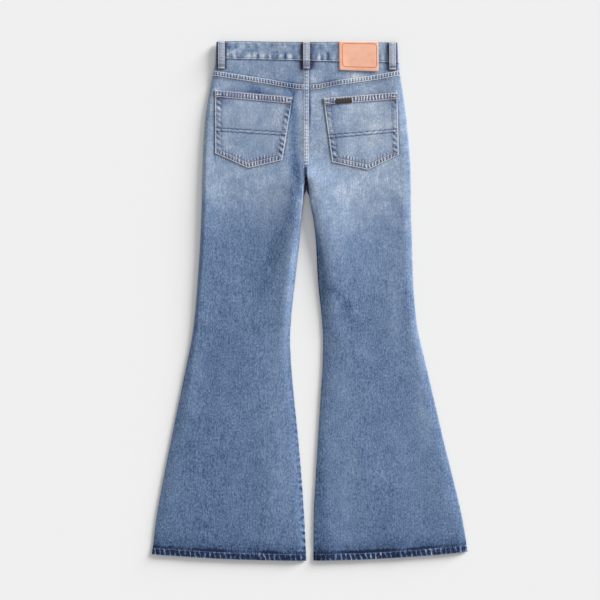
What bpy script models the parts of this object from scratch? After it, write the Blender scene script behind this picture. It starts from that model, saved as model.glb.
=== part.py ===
"""Flared jeans laid flat with the back side up, as the pieces a maker cuts and sews.

Metres, +Z up. The garment rests on z = 0, its waist points to +Y and the wearer's left is at -X.
"Down" is the distance below the waist edge, measured towards the hems, so y = WAIST_Y - down.
Every cloth piece is a grid of points on its lower face, moved to its outline and height and then
given its thickness by Solidify. Pieces that meet at a seam, or lie on each other, stay SEAM_GAP
apart.
"""
from bisect import bisect_right
from collections import namedtuple
import math

import bmesh
import bpy
from mathutils import Vector

MM = 0.001

# Overall placing
WAIST_Y = 0.5368
SEAM_GAP = 0.0003

# Cloth thicknesses
DENIM_WALL = 0.0015
HEM_WALL = 0.0026
FELLED_WALL = 0.0024
POCKET_WALL = 0.0014
POCKET_MOUTH_WALL = 0.0021
BAND_WALL = 0.0022
LOOP_WALL = 0.0018
FRONT_LOOP_WALL = 0.0013
FACING_WALL = 0.0012
ZIP_WALL = 0.0010
SHIELD_WALL = 0.0013
PATCH_WALL = 0.0016
TAB_WALL = 0.0010

# Widths of sewn strips, and the run over which the wall steps up to them
HEM_WIDTH = 0.0140
FELLED_WIDTH = 0.0124
YOKE_FELL_WIDTH = 0.0115
STEP_RUN = 0.0012
FELL_FADE_START = 0.262
YOKE_MIDDLE_DEPTH = 0.045

# How the layers lie on each other
BAND_LIFT = 0.0032
LIFT_START = 0.040
LIFT_END = 0.120
EDGE_CURL = 0.0012
CURL_REACH = 0.008
FOLD_REACH = 0.016
LOFT = 0.0021
FLY_LOFT = 0.00135
FLY_HALF_WIDTH = 0.042
FLY_LOFT_RUN = 0.055
FLY_LOFT_DOWN = 0.190
FLY_LOFT_END = 0.250
CROTCH_START = 0.250
CROTCH_END = 0.300
CROTCH_REACH = 0.040
HEM_RISE_RUN = 0.008

# Waistband
FRONT_DIP = 0.014
BAND_INNER_SIDE = 0.0065
BAND_INNER_RISE = 0.0017
BAND_FRONT_MID = BAND_LIFT + BAND_WALL / 2
BAND_BACK_MID = BAND_INNER_SIDE + BAND_WALL / 2
LAP_OUTER_END = 0.018
LAP_INNER_END = -0.037
LAP_STEP = BAND_WALL + SEAM_GAP
LAP_RAMP_START = 0.050
LAP_RAMP_END = 0.023
BAND_FLARE = 0.0007
BAND_FLARE_REACH = 0.180
BAND_SIDE_DOWN = 0.020
BAND_ROWS = 3
BAND_FRONT_STEPS = 11
BAND_BACK_STEPS = 23
BAND_TURN_STEPS = 6
BAND_INNER_STATIONS = (0.150, 0.116, 0.082, 0.062, 0.050, 0.043, 0.036, 0.029, 0.023, 0.010,
                       -0.006, -0.022, LAP_INNER_END)

# Belt loops
LOOP_WIDTH = 0.0145
LOOP_ARCH = 0.0014
LOOP_END_RUN = 0.22
LOOP_STEP_RUN = 0.006
LOOP_TOP_INSET = 0.0003
FRONT_LOOP_ARCH = 0.0009

# Front pockets, fly and button
SCOOP_WIDTH = 0.105
SCOOP_DEPTH = 0.088
FACING_MARGIN = 0.015
FACING_MARGIN_START = 0.009
FACING_MARGIN_END = 0.024
FACING_END_DEPTH = 0.020
SCOOP_SIDE_DOWN = 0.080
FACING_LOW = 0.0002
FACING_RAMP_START = 0.024
FACING_RAMP_END = 0.011
ZIP_HALF_WIDTH = 0.012
ZIP_END = 0.185
SHIELD_LEFT = -0.022
SHIELD_RIGHT = 0.026
SHIELD_END = 0.198
BUTTON_RADIUS = 0.0085
BUTTON_HEIGHT = 0.0026
BUTTON_DOWN = 0.035
BUTTON_BEVEL = 0.0008
BUTTON_CLEAR = 0.0003

# Outline, in millimetres from the centre of the garment's width
LegRow = namedtuple("LegRow", "down left_outer left_inner right_inner right_outer")
LEG_ROWS = (
    LegRow(0, -193.5, -1.0, -1.0, 181.0),
    LegRow(40, -195.0, -1.0, -1.0, 184.0),
    LegRow(80, -203.0, -1.0, -1.0, 189.0),
    LegRow(110, -209.0, -1.0, -1.0, 193.5),
    LegRow(160, -216.5, -1.0, -1.0, 200.5),
    LegRow(236, -221.5, -1.5, -1.5, 207.5),
    LegRow(255, -222.1, -4.2, -4.2, 208.4),
    LegRow(270, -222.5, -7.5, -6.7, 209.0),
    LegRow(286, -223.0, -9.8, -4.4, 209.2),
    LegRow(327, -223.7, -12.8, -0.5, 209.6),
    LegRow(368, -225.0, -17.5, 7.5, 210.2),
    LegRow(410, -226.7, -20.8, 12.5, 211.5),
    LegRow(493, -232.0, -30.0, 17.0, 214.0),
    LegRow(575, -239.0, -38.5, 25.0, 220.5),
    LegRow(617, -244.8, -40.5, 27.5, 228.0),
    LegRow(658, -253.0, -39.0, 27.0, 238.0),
    LegRow(741, -270.0, -32.0, 22.0, 257.5),
    LegRow(824, -287.0, -23.5, 17.0, 277.0),
    LegRow(907, -303.5, -16.5, 12.0, 297.5),
    LegRow(989, -318.0, -11.0, 8.0, 316.5),
    LegRow(1060, -327.0, -7.5, 7.5, 328.0),
)

# Lines across the garment, in millimetres: how far down each lies at a place across
AcrossRow = namedtuple("AcrossRow", "across down")
BAND_TOP_ROWS = (
    AcrossRow(-195, 0.5),
    AcrossRow(-155, -1.0),
    AcrossRow(-60, 0.5),
    AcrossRow(-1, 1.2),
    AcrossRow(60, 0.8),
    AcrossRow(183, 2.0),
)
BAND_BOTTOM_ROWS = (
    AcrossRow(-195, 34.5),
    AcrossRow(-150, 35.8),
    AcrossRow(-60, 38.0),
    AcrossRow(-1, 39.8),
    AcrossRow(60, 41.4),
    AcrossRow(183, 43.0),
)
YOKE_SEAM_ROWS = (
    AcrossRow(-205, 69.5),
    AcrossRow(-104, 85.0),
    AcrossRow(-1, 99.5),
    AcrossRow(65, 89.0),
    AcrossRow(134, 79.5),
    AcrossRow(195, 68.0),
)
LEFT_HEM_ROWS = (
    AcrossRow(-327, 1061.0),
    AcrossRow(-250, 1066.0),
    AcrossRow(-172, 1070.5),
    AcrossRow(-90, 1073.0),
    AcrossRow(-8, 1074.5),
)
RIGHT_HEM_ROWS = (
    AcrossRow(8, 1074.0),
    AcrossRow(90, 1072.5),
    AcrossRow(168, 1068.5),
    AcrossRow(250, 1063.0),
    AcrossRow(327, 1055.5),
)

# Largest folds of the upper side, in millimetres: a soft ridge (or trough) from start to end
FoldRow = namedtuple("FoldRow", "start_across start_down end_across end_down half_width height")
FOLD_ROWS = (
    FoldRow(-33, 285, -104, 520, 19, -1.25),
    FoldRow(-26, 350, -60, 600, 12, 0.80),
    FoldRow(-196, 430, -150, 640, 30, 0.70),
    FoldRow(-140, 560, -196, 830, 34, -0.60),
    FoldRow(-214, 760, -262, 1050, 30, 0.65),
    FoldRow(-84, 700, -70, 1055, 32, 0.75),
    FoldRow(-150, 830, -160, 1060, 30, -0.55),
    FoldRow(18, 370, 44, 560, 12, -0.95),
    FoldRow(66, 290, 96, 520, 28, 0.70),
    FoldRow(60, 500, 150, 640, 26, -0.95),
    FoldRow(176, 430, 170, 620, 30, 0.60),
    FoldRow(52, 700, 44, 1050, 24, -0.70),
    FoldRow(116, 720, 128, 1055, 30, 0.75),
    FoldRow(206, 720, 236, 1050, 28, -0.60),
    FoldRow(-120, 272, -150, 400, 34, 0.50),
    FoldRow(120, 275, 140, 400, 34, 0.45),
)

# Back pockets, in millimetres: corners as (across, down), going round from the outer top corner
PocketRow = namedtuple(
    "PocketRow", "name top_left top_right bottom_right point bottom_left mouth_width"
)
POCKET_ROWS = (
    PocketRow("back_pocket_left", (-196.5, 98.5), (-34.5, 113.5), (-56.5, 245.0),
              (-127.0, 261.5), (-196.0, 230.5), 13.5),
    PocketRow("back_pocket_right", (27.5, 115.5), (181.5, 103.5), (184.5, 234.5),
              (120.5, 265.0), (46.0, 249.0), 13.5),
)
POCKET_HALF_COLUMNS = 6
POCKET_BODY_STEPS = 8
POCKET_MOUTH_LIMIT = 0.0142

# Belt loops, in millimetres: centre across and the lower end; the layers that the lower end lies on
LoopRow = namedtuple("LoopRow", "name across end_down seam_rise")
BACK_LOOP_ROWS = (
    LoopRow("belt_loop_back_left", -182.6, 55.5, 0.0),
    LoopRow("belt_loop_back_centre", -6.8, 55.5, 0.9),
    LoopRow("belt_loop_back_right", 171.2, 58.0, 0.0),
)
FRONT_LOOP_ROWS = (
    LoopRow("belt_loop_front_left", -104.0, 66.0, 0.0),
    LoopRow("belt_loop_front_right", 94.0, 69.0, 0.0),
)

# Leather patch and woven tab, in millimetres: their four corners as (across, down)
QuadRow = namedtuple("QuadRow", "top_left top_right bottom_right bottom_left")
PATCH_CORNERS = QuadRow((60.5, -0.6), (141.5, 0.2), (142.0, 61.5), (61.5, 58.5))
TAB_CORNERS = QuadRow((53.5, 116.0), (87.0, 113.6), (87.5, 123.4), (54.0, 126.0))

# Grids: how many points each piece has, and the strips that stay narrow beside its edges
RowZone = namedtuple("RowZone", "until step")
BACK_ROW_ZONES = (RowZone(0.330, 0.021), RowZone(1.060, 0.034))
FRONT_ROW_ZONES = (RowZone(0.130, 0.0125), RowZone(0.330, 0.025), RowZone(1.060, 0.052))
BACK_MIDDLE_COLUMNS = 7
OUTER_STRIPS = (0.0, 0.0035, 0.008, 0.0155)
INNER_STRIPS = (0.0, FELLED_WIDTH - STEP_RUN, FELLED_WIDTH, 0.0185)
FRONT_MIDDLE_COLUMNS = 3
FRONT_EDGE_STRIPS = (0.0, 0.004, 0.008)
SCOOP_COLUMNS = (0.0, 0.22, 0.45, 0.68, 0.86, 0.96, 1.0)
FACING_COLUMNS = (0.0, 0.004, 0.008, 0.017, 0.027, 0.037, 0.047, 0.058, 0.069, 0.080, 0.091, 0.1025,
                  0.1135, 0.120)

# Colours as seen on screen, 0 to 255
LIGHT_DENIM = (150, 172, 205)
MID_DENIM = (108, 135, 178)
LEATHER = (240, 178, 150)
DARK_TAB = (70, 52, 44)
BRASS = (176, 138, 84)
ZIP_TAPE = (96, 112, 142)


# ---------------------------------------------------------------- curves and steps
def curve_through(pairs):
    """Smooth curve through (place, value) pairs that never overshoots them."""
    places = [place for place, _ in pairs]
    values = [value for _, value in pairs]
    rises = [
        (values[k + 1] - values[k]) / (places[k + 1] - places[k]) for k in range(len(pairs) - 1)
    ]
    slopes = [rises[0]]
    for before, after in zip(rises, rises[1:]):
        turns = before * after <= 0
        slopes.append(0.0 if turns else 2 * before * after / (before + after))
    slopes.append(rises[-1])

    def value_at(place):
        if place <= places[0]:
            return values[0] + slopes[0] * (place - places[0])
        if place >= places[-1]:
            return values[-1] + slopes[-1] * (place - places[-1])
        k = bisect_right(places, place) - 1
        run = places[k + 1] - places[k]
        t = (place - places[k]) / run
        blend = t * t * (3 - 2 * t)
        bow = slopes[k] * t * (1 - t) ** 2 - slopes[k + 1] * t * t * (1 - t)
        return values[k] * (1 - blend) + values[k + 1] * blend + run * bow

    return value_at


def curve_across(rows):
    return curve_through([(row.across * MM, row.down * MM) for row in rows])


def curve_down(column):
    return curve_through([(row.down * MM, getattr(row, column) * MM) for row in LEG_ROWS])


def smooth_step(start, end, place):
    t = min(max((place - start) / (end - start), 0.0), 1.0)
    return t * t * (3 - 2 * t)


def mix(start, end, t):
    return start + (end - start) * t


left_outer = curve_down("left_outer")
left_inner = curve_down("left_inner")
right_inner = curve_down("right_inner")
right_outer = curve_down("right_outer")
band_top = curve_across(BAND_TOP_ROWS)
band_bottom = curve_across(BAND_BOTTOM_ROWS)
yoke_seam = curve_across(YOKE_SEAM_ROWS)
left_hem = curve_across(LEFT_HEM_ROWS)
right_hem = curve_across(RIGHT_HEM_ROWS)


# ---------------------------------------------------------------- heights of the layers
def centre_line(down):
    return (left_inner(down) + right_inner(down)) / 2


def edge_distances(across, down):
    """Distances to the side edge and to the inner leg edge, which is open below the crotch."""
    if across < centre_line(down):
        outer = across - left_outer(down)
        inner = left_inner(down) - across
    else:
        outer = right_outer(down) - across
        inner = across - right_inner(down)
    joined = 1 - smooth_step(CROTCH_START, CROTCH_END, down)
    return max(outer, 0.0), max(inner, 0.0) + CROTCH_REACH * joined


def edge_curl(distance):
    """How far the cloth turns up beside a folded edge."""
    return EDGE_CURL * max(1 - distance / CURL_REACH, 0.0) ** 2


def edge_swell(distance):
    """Share of the loft that the upper layer has reached at this distance from a folded edge."""
    return math.sin(math.pi / 2 * min(distance / FOLD_REACH, 1.0))


def hem_line(across, down):
    return left_hem(across) if across < centre_line(down) else right_hem(across)


def front_lower(across, down):
    """Lower face of the front panels: flat, but lifted below the waistband and at folded edges."""
    outer, inner = edge_distances(across, down)
    lift = BAND_LIFT * (1 - smooth_step(LIFT_START, LIFT_END, down))
    return lift + edge_curl(outer) + edge_curl(inner)


def fly_share(across):
    return 1 - smooth_step(FLY_HALF_WIDTH, FLY_HALF_WIDTH + FLY_LOFT_RUN, abs(across))


def fold_height(across, down):
    total = 0.0
    for row in FOLD_ROWS:
        start = Vector((row.start_across, row.start_down)) * MM
        along = Vector((row.end_across, row.end_down)) * MM - start
        offset = Vector((across, down)) - start
        t = offset.dot(along) / along.length_squared
        if 0.0 < t < 1.0:
            aside = (offset - along * t).length / (row.half_width * MM)
            total += row.height * MM * math.exp(-aside * aside) * (1 - (2 * t - 1) ** 4)
    return total


def back_inner(across, down):
    """Lower face of the back panels and yoke, which lie on the front ones."""
    outer, inner = edge_distances(across, down)
    fly = fly_share(across) * (1 - smooth_step(FLY_LOFT_DOWN, FLY_LOFT_END, down))
    loft = LOFT + FLY_LOFT * fly + fold_height(across, down)
    hem = hem_line(across, down)
    hem_rise = (HEM_WALL - DENIM_WALL) * smooth_step(
        hem - HEM_WIDTH - HEM_RISE_RUN, hem - HEM_WIDTH, down
    )
    swell = edge_swell(outer) * edge_swell(inner)
    return front_lower(across, down) + DENIM_WALL + SEAM_GAP + loft * swell + hem_rise


def back_outer(across, down):
    return back_inner(across, down) + DENIM_WALL


def band_inner(across):
    return BAND_INNER_SIDE + BAND_INNER_RISE * fly_share(across)


def front_band_drop(across):
    """How far the front of the waistband hangs below its back."""
    half = (right_outer(0.0) - left_outer(0.0)) / 2
    middle = (right_outer(0.0) + left_outer(0.0)) / 2
    return FRONT_DIP * max(1 - ((across - middle) / half) ** 2, 0.0)


def front_band_bottom(across):
    return band_bottom(across) + front_band_drop(across)


# ---------------------------------------------------------------- making solids
def screen_colour(colour):
    """Linear colour of an on-screen one."""
    return [((c / 255 + 0.055) / 1.055) ** 2.4 for c in colour] + [1.0]


def new_material(name, colour, roughness, metallic=0.0):
    material = bpy.data.materials.new(name)
    material.use_nodes = True
    shader = material.node_tree.nodes["Principled BSDF"]
    shader.inputs["Base Color"].default_value = screen_colour(colour)
    shader.inputs["Roughness"].default_value = roughness
    shader.inputs["Metallic"].default_value = metallic
    material.diffuse_color = screen_colour(colour)
    return material


def finish_object(name, bm, collection, material):
    mesh = bpy.data.meshes.new(name)
    bm.to_mesh(mesh)
    bm.free()
    mesh.materials.append(material)
    mesh.shade_smooth()
    mesh.set_sharp_from_angle(angle=math.radians(40))
    piece = bpy.data.objects.new(name, mesh)
    collection.objects.link(piece)
    return piece


def cloth_piece(name, collection, material, columns, rows, place, wall, wall_at=None, offset=1.0):
    """Cloth of columns x rows points. place(i, j) gives a point of its lower face, with i running
    to +X and j towards the hems; wall_at(point) gives the thickness where it varies."""
    bm = bmesh.new()
    bmesh.ops.create_grid(bm, x_segments=columns - 1, y_segments=rows - 1, size=0.5)
    for vert in bm.verts:
        i = round((vert.co.x + 0.5) * (columns - 1))
        j = round((0.5 - vert.co.y) * (rows - 1))
        vert.co = place(i, j)
    piece = finish_object(name, bm, collection, material)
    solidify = piece.modifiers.new("wall", "SOLIDIFY")
    solidify.thickness = wall
    solidify.offset = offset
    if wall_at:
        layers = piece.vertex_groups.new(name="layers")
        for vert in piece.data.vertices:
            layers.add([vert.index], wall_at(vert.co.x, WAIST_Y - vert.co.y) / wall, "REPLACE")
        solidify.vertex_group = "layers"
        solidify.thickness_vertex_group = 0.0
    return piece


def point(across, down, height):
    return Vector((across, WAIST_Y - down, height))


def spread(width, start_strips, end_strips, middle_count):
    """Distances across a piece: fixed strips beside both edges and even ones between them."""
    start = list(start_strips)
    end = [width - strip for strip in reversed(end_strips)]
    span = end[0] - start[-1]
    middle = [start[-1] + span * (k + 1) / (middle_count + 1) for k in range(middle_count)]
    return start + middle + end


def leg_row_shares(zones, top, hem):
    """Shares of a leg's length at which its rows lie, with a step at the turned hem."""
    length = hem - top
    end = 1 - (HEM_WIDTH + STEP_RUN) / length
    shares = [0.0]
    for zone in zones:
        start = shares[-1]
        until = min((zone.until - top) / length, end)
        count = max(round((until - start) * length / zone.step), 1)
        shares += [mix(start, until, (k + 1) / count) for k in range(count)]
    return shares + [1 - HEM_WIDTH / length, 1.0]


def sew_line(top_line, bottom_line, across_at, share):
    """Point of a column that crosses from one line to another, at this share of its length."""
    down = mix(top_line(across_at(0.3)), bottom_line(across_at(0.3)), share)
    for _ in range(4):
        across = across_at(down)
        down = mix(top_line(across), bottom_line(across), share)
    return across_at(down), down


# ---------------------------------------------------------------- leg panels
def leg_edges(left):
    """Outer and inner edge curves in order of X, each half a seam gap inside the other's."""
    if left:
        return left_outer, lambda down: left_inner(down) - SEAM_GAP / 2
    return lambda down: right_inner(down) + SEAM_GAP / 2, right_outer


def back_leg(left, collection, material):
    low_edge, high_edge = leg_edges(left)
    hem = left_hem if left else right_hem
    strips = (OUTER_STRIPS, INNER_STRIPS) if left else (INNER_STRIPS, OUTER_STRIPS)
    columns = len(strips[0]) + len(strips[1]) + BACK_MIDDLE_COLUMNS
    shares = leg_row_shares(BACK_ROW_ZONES, yoke_seam(0.0), hem(0.0))

    def place(i, j):
        def across_at(down):
            low, high = low_edge(down), high_edge(down)
            return low + spread(high - low, *strips, BACK_MIDDLE_COLUMNS)[i]

        across, down = sew_line(
            lambda a: yoke_seam(a) + SEAM_GAP / 2, hem, across_at, shares[j]
        )
        return point(across, down, back_inner(across, down))

    def wall_at(across, down):
        near_centre = centre_line(down) - across
        on_ridge = left and near_centre < FELLED_WIDTH - STEP_RUN / 2 and down < CROTCH_END
        ridge = (FELLED_WALL - DENIM_WALL) * (1 - smooth_step(FELL_FADE_START, CROTCH_END, down))
        in_hem = down > hem(across) - HEM_WIDTH - STEP_RUN / 2
        return HEM_WALL if in_hem else DENIM_WALL + (ridge if on_ridge else 0.0)

    name = "back_leg_left" if left else "back_leg_right"
    cloth_piece(name, collection, material, columns, len(shares), place, HEM_WALL, wall_at)


def scoop_share(across, left):
    """Distance from the pocket's side seam, as a share of the scoop's width."""
    side = left_outer(SCOOP_SIDE_DOWN) if left else right_outer(SCOOP_SIDE_DOWN)
    return max((across - side) * (1 if left else -1), 0.0) / SCOOP_WIDTH


def scoop_edge(across, left):
    """Mouth of the front pocket: a quarter ellipse round the corner of side seam and waistband."""
    share = min(scoop_share(across, left), 1.0)
    return front_band_bottom(across) + SCOOP_DEPTH * math.sqrt(1 - share * share)


def front_leg(left, collection, material):
    low_edge, high_edge = leg_edges(left)
    hem = left_hem if left else right_hem
    shares = leg_row_shares(FRONT_ROW_ZONES, front_band_bottom(0.0), hem(0.0))
    scoop = [SCOOP_WIDTH * share for share in SCOOP_COLUMNS]
    outer_strips = scoop[:1] + [CURL_REACH / 2, CURL_REACH] + scoop[1:]
    strips = (outer_strips, FRONT_EDGE_STRIPS) if left else (FRONT_EDGE_STRIPS, outer_strips)
    columns = len(outer_strips) + len(FRONT_EDGE_STRIPS) + FRONT_MIDDLE_COLUMNS

    def place(i, j):
        def across_at(down):
            low, high = low_edge(down), high_edge(down)
            return low + spread(high - low, *strips, FRONT_MIDDLE_COLUMNS)[i]

        across, down = sew_line(
            lambda a: scoop_edge(a, left) + SEAM_GAP, hem, across_at, shares[j]
        )
        return point(across, down, front_lower(across, down))

    def wall_at(across, down):
        in_hem = down > hem(across) - HEM_WIDTH - STEP_RUN / 2
        return HEM_WALL if in_hem else DENIM_WALL

    name = "front_leg_left" if left else "front_leg_right"
    cloth_piece(name, collection, material, columns, len(shares), place, HEM_WALL, wall_at)


# ---------------------------------------------------------------- yoke and waistband
def back_yoke(left, collection, material):
    low_edge, high_edge = leg_edges(left)
    strips = (OUTER_STRIPS, INNER_STRIPS) if left else (INNER_STRIPS, OUTER_STRIPS)
    columns = len(strips[0]) + len(strips[1]) + BACK_MIDDLE_COLUMNS
    fell_start = 1 - YOKE_FELL_WIDTH / YOKE_MIDDLE_DEPTH
    step = STEP_RUN / YOKE_MIDDLE_DEPTH
    shares = (0.0, fell_start / 2, fell_start - step, fell_start, 1.0)

    def place(i, j):
        def across_at(down):
            low, high = low_edge(down), high_edge(down)
            return low + spread(high - low, *strips, BACK_MIDDLE_COLUMNS)[i]

        across, down = sew_line(
            lambda a: band_bottom(a) + SEAM_GAP,
            lambda a: yoke_seam(a) - SEAM_GAP / 2,
            across_at,
            shares[j],
        )
        return point(across, down, back_inner(across, down))

    def wall_at(across, down):
        top = band_bottom(across)
        share = (down - top) / (yoke_seam(across) - top)
        on_seam = share > fell_start - step / 2
        on_ridge = left and centre_line(down) - across < FELLED_WIDTH - STEP_RUN / 2
        return FELLED_WALL if on_seam or on_ridge else DENIM_WALL

    name = "back_yoke_left" if left else "back_yoke_right"
    cloth_piece(name, collection, material, columns, len(shares), place, FELLED_WALL, wall_at)


def band_path():
    """Stations of the waistband from its outer front end, round both sides, to its inner end.

    Each station holds its side, its share of the way between the garment's side edges, how far
    outside it lies, its height, and whether it is on the front."""
    Station = namedtuple("Station", "across outside height front")
    turn_radius = (BAND_BACK_MID - BAND_FRONT_MID) / 2
    turn_height = (BAND_BACK_MID + BAND_FRONT_MID) / 2
    inset = turn_radius + BAND_WALL / 2
    left_end = left_outer(BAND_SIDE_DOWN) + inset
    right_end = right_outer(BAND_SIDE_DOWN) - inset
    path = []
    for k in range(BAND_FRONT_STEPS):
        across = mix(LAP_OUTER_END, left_end, k / BAND_FRONT_STEPS)
        path.append(Station(across, 0.0, BAND_FRONT_MID, 1.0))
    for k in range(BAND_TURN_STEPS + 1):
        share = k / BAND_TURN_STEPS
        outside = -turn_radius * math.sin(math.pi * share)
        height = turn_height - turn_radius * math.cos(math.pi * share)
        path.append(Station(left_end, outside, height, 1 - share))
    for k in range(1, BAND_BACK_STEPS):
        across = mix(left_end, right_end, k / BAND_BACK_STEPS)
        path.append(Station(across, 0.0, band_inner(across) + BAND_WALL / 2, 0.0))
    for k in range(BAND_TURN_STEPS + 1):
        share = k / BAND_TURN_STEPS
        outside = turn_radius * math.sin(math.pi * share)
        height = turn_height + turn_radius * math.cos(math.pi * share)
        path.append(Station(right_end, outside, height, share))
    for across in BAND_INNER_STATIONS:
        lap = LAP_STEP * (1 - smooth_step(LAP_RAMP_END, LAP_RAMP_START, across))
        path.append(Station(across, 0.0, BAND_FRONT_MID + lap, 1.0))
    return path


def waistband(collection, material):
    path = band_path()

    def place(i, j):
        station = path[i]
        share = j / (BAND_ROWS - 1)
        drop = front_band_drop(station.across) * station.front
        down = mix(band_top(station.across), band_bottom(station.across), share) + drop
        towards_side = min(max(station.across / BAND_FLARE_REACH, -1.0), 1.0)
        flare = mix(-BAND_FLARE, BAND_FLARE, share) * towards_side
        return point(station.across + station.outside + flare, down, station.height)

    cloth_piece("waistband", collection, material, len(path), BAND_ROWS, place, BAND_WALL,
                offset=0.0)


# ---------------------------------------------------------------- what is sewn on
def quad_piece(name, collection, material, corners, columns, rows, height, wall):
    """Four-cornered piece whose lower face has the given height."""
    def place(i, j):
        s, t = i / (columns - 1), j / (rows - 1)
        top = Vector(corners.top_left).lerp(Vector(corners.top_right), s)
        bottom = Vector(corners.bottom_left).lerp(Vector(corners.bottom_right), s)
        across, down = top.lerp(bottom, t) * MM
        return point(across, down, height(across, down, s, t))

    cloth_piece(name, collection, material, columns, rows, place, wall)


def back_pocket(row, collection, material):
    """Patch pocket: straight sides, a mouth with a turned hem, and a bottom with a low point."""
    left_width = row.point[0] - row.bottom_left[0]
    point_share = left_width / (row.bottom_right[0] - row.bottom_left[0])
    left_shares = [point_share * k / POCKET_HALF_COLUMNS for k in range(POCKET_HALF_COLUMNS)]
    right_steps = range(POCKET_HALF_COLUMNS + 1)
    right_shares = [mix(point_share, 1.0, k / POCKET_HALF_COLUMNS) for k in right_steps]
    shares_across = left_shares + right_shares
    depth = row.bottom_left[1] - row.top_left[1]
    mouth_share = row.mouth_width / depth
    step = STEP_RUN / MM / depth
    shares_down = [0.0, mouth_share / 2, mouth_share, mouth_share + step]
    for k in range(POCKET_BODY_STEPS):
        shares_down.append(mix(mouth_share + step, 1.0, (k + 1) / POCKET_BODY_STEPS))

    def place(i, j):
        s, t = shares_across[i], shares_down[j]
        top = Vector(row.top_left).lerp(Vector(row.top_right), s)
        if s < point_share:
            bottom = Vector(row.bottom_left).lerp(Vector(row.point), s / point_share)
        else:
            rest = (s - point_share) / (1 - point_share)
            bottom = Vector(row.point).lerp(Vector(row.bottom_right), rest)
        across, down = top.lerp(bottom, t) * MM
        return point(across, down, back_outer(across, down) + SEAM_GAP)

    def wall_at(across, down):
        share = (across / MM - row.top_left[0]) / (row.top_right[0] - row.top_left[0])
        mouth_end = mix(row.top_left[1], row.top_right[1], share) * MM + POCKET_MOUTH_LIMIT
        return POCKET_MOUTH_WALL if down < mouth_end else POCKET_WALL

    cloth_piece(row.name, collection, material, len(shares_across), len(shares_down), place,
                POCKET_MOUTH_WALL, wall_at)


def strap_arch(share):
    """Lift of a belt loop along its length: down at both sewn ends and level between them."""
    return smooth_step(0.0, LOOP_END_RUN, share) * smooth_step(0.0, LOOP_END_RUN, 1 - share)


def loop_corners(row, start):
    half = LOOP_WIDTH / MM / 2
    return QuadRow(
        (row.across - half, start / MM),
        (row.across + half, start / MM),
        (row.across + half, row.end_down),
        (row.across - half, row.end_down),
    )


def back_loop(row, collection, material):
    def height(across, down, s, t):
        on_band = band_inner(row.across * MM) + BAND_WALL
        on_yoke = back_outer(row.across * MM, down) + row.seam_rise * MM
        edge = band_bottom(across)
        start = edge - LOOP_STEP_RUN if on_yoke > on_band else edge
        seat = mix(on_band, on_yoke, smooth_step(start, start + LOOP_STEP_RUN, down))
        return seat + SEAM_GAP + LOOP_ARCH * strap_arch(t)

    corners = loop_corners(row, band_top(row.across * MM) + LOOP_TOP_INSET)
    quad_piece(row.name, collection, material, corners, 3, 13, height, LOOP_WALL)


def front_loop(row, collection, material):
    def height(across, down, s, t):
        seat = min(BAND_LIFT, front_lower(row.across * MM, down))
        return seat - SEAM_GAP - FRONT_LOOP_WALL - FRONT_LOOP_ARCH * strap_arch(t)

    start = band_top(row.across * MM) + front_band_drop(row.across * MM) + LOOP_TOP_INSET
    corners = loop_corners(row, start)
    quad_piece(row.name, collection, material, corners, 3, 13, height, FRONT_LOOP_WALL)


def waist_patch(collection, material):
    def height(across, down, s, t):
        return max(band_inner(across) + BAND_WALL, back_outer(across, down)) + SEAM_GAP

    quad_piece("waist_patch", collection, material, PATCH_CORNERS, 8, 10, height, PATCH_WALL)


def pocket_tab(collection, material):
    def height(across, down, s, t):
        return back_outer(across, down) + SEAM_GAP + POCKET_MOUTH_WALL + SEAM_GAP

    quad_piece("pocket_tab", collection, material, TAB_CORNERS, 5, 3, height, TAB_WALL)


# ---------------------------------------------------------------- front: facings, fly, button
def pocket_facing(left, collection, material):
    """Denim behind the front pocket's mouth. It fills the scoop and runs on behind its edge."""
    side = left_outer if left else right_outer
    inward = 1 if left else -1
    columns, rows = len(FACING_COLUMNS), 10
    reach = (SCOOP_WIDTH + FACING_MARGIN) / SCOOP_WIDTH
    distances = FACING_COLUMNS if left else FACING_COLUMNS[::-1]

    def bottom_line(across):
        share = min(scoop_share(across, left) / reach, 1.0)
        distance = scoop_share(across, left) * SCOOP_WIDTH
        margin = FACING_MARGIN * smooth_step(FACING_MARGIN_START, FACING_MARGIN_END, distance)
        depth = (SCOOP_DEPTH + margin - SEAM_GAP) * math.sqrt(1 - share * share)
        return front_band_bottom(across) + max(depth, FACING_END_DEPTH)

    def place(i, j):
        across, down = sew_line(
            lambda a: front_band_bottom(a) + SEAM_GAP,
            bottom_line,
            lambda d: side(d) + inward * distances[i],
            j / (rows - 1),
        )
        depth_share = (down - front_band_bottom(across)) / SCOOP_DEPTH
        round_share = math.hypot(scoop_share(across, left), depth_share)
        inside = (1 - round_share) * (SCOOP_WIDTH + SCOOP_DEPTH) / 2
        over = 1 - smooth_step(FACING_RAMP_END, FACING_RAMP_START, inside)
        from_side = smooth_step(0.0, CURL_REACH, distances[i])
        raised = (DENIM_WALL + SEAM_GAP - FACING_LOW) * over * from_side
        return point(across, down, front_lower(across, down) + FACING_LOW + raised)

    name = "pocket_facing_left" if left else "pocket_facing_right"
    cloth_piece(name, collection, material, columns, rows, place, FACING_WALL)


def fly_strip(name, collection, material, left, right, end, rise, wall):
    """Straight strip behind the front opening, from the waistband down."""
    columns, rows = 5, 12

    def place(i, j):
        across = mix(left, right, i / (columns - 1))
        down = mix(front_band_bottom(across) + SEAM_GAP, end, j / (rows - 1))
        return point(across, down, front_lower(across, down) + rise)

    cloth_piece(name, collection, material, columns, rows, place, wall)


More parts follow.
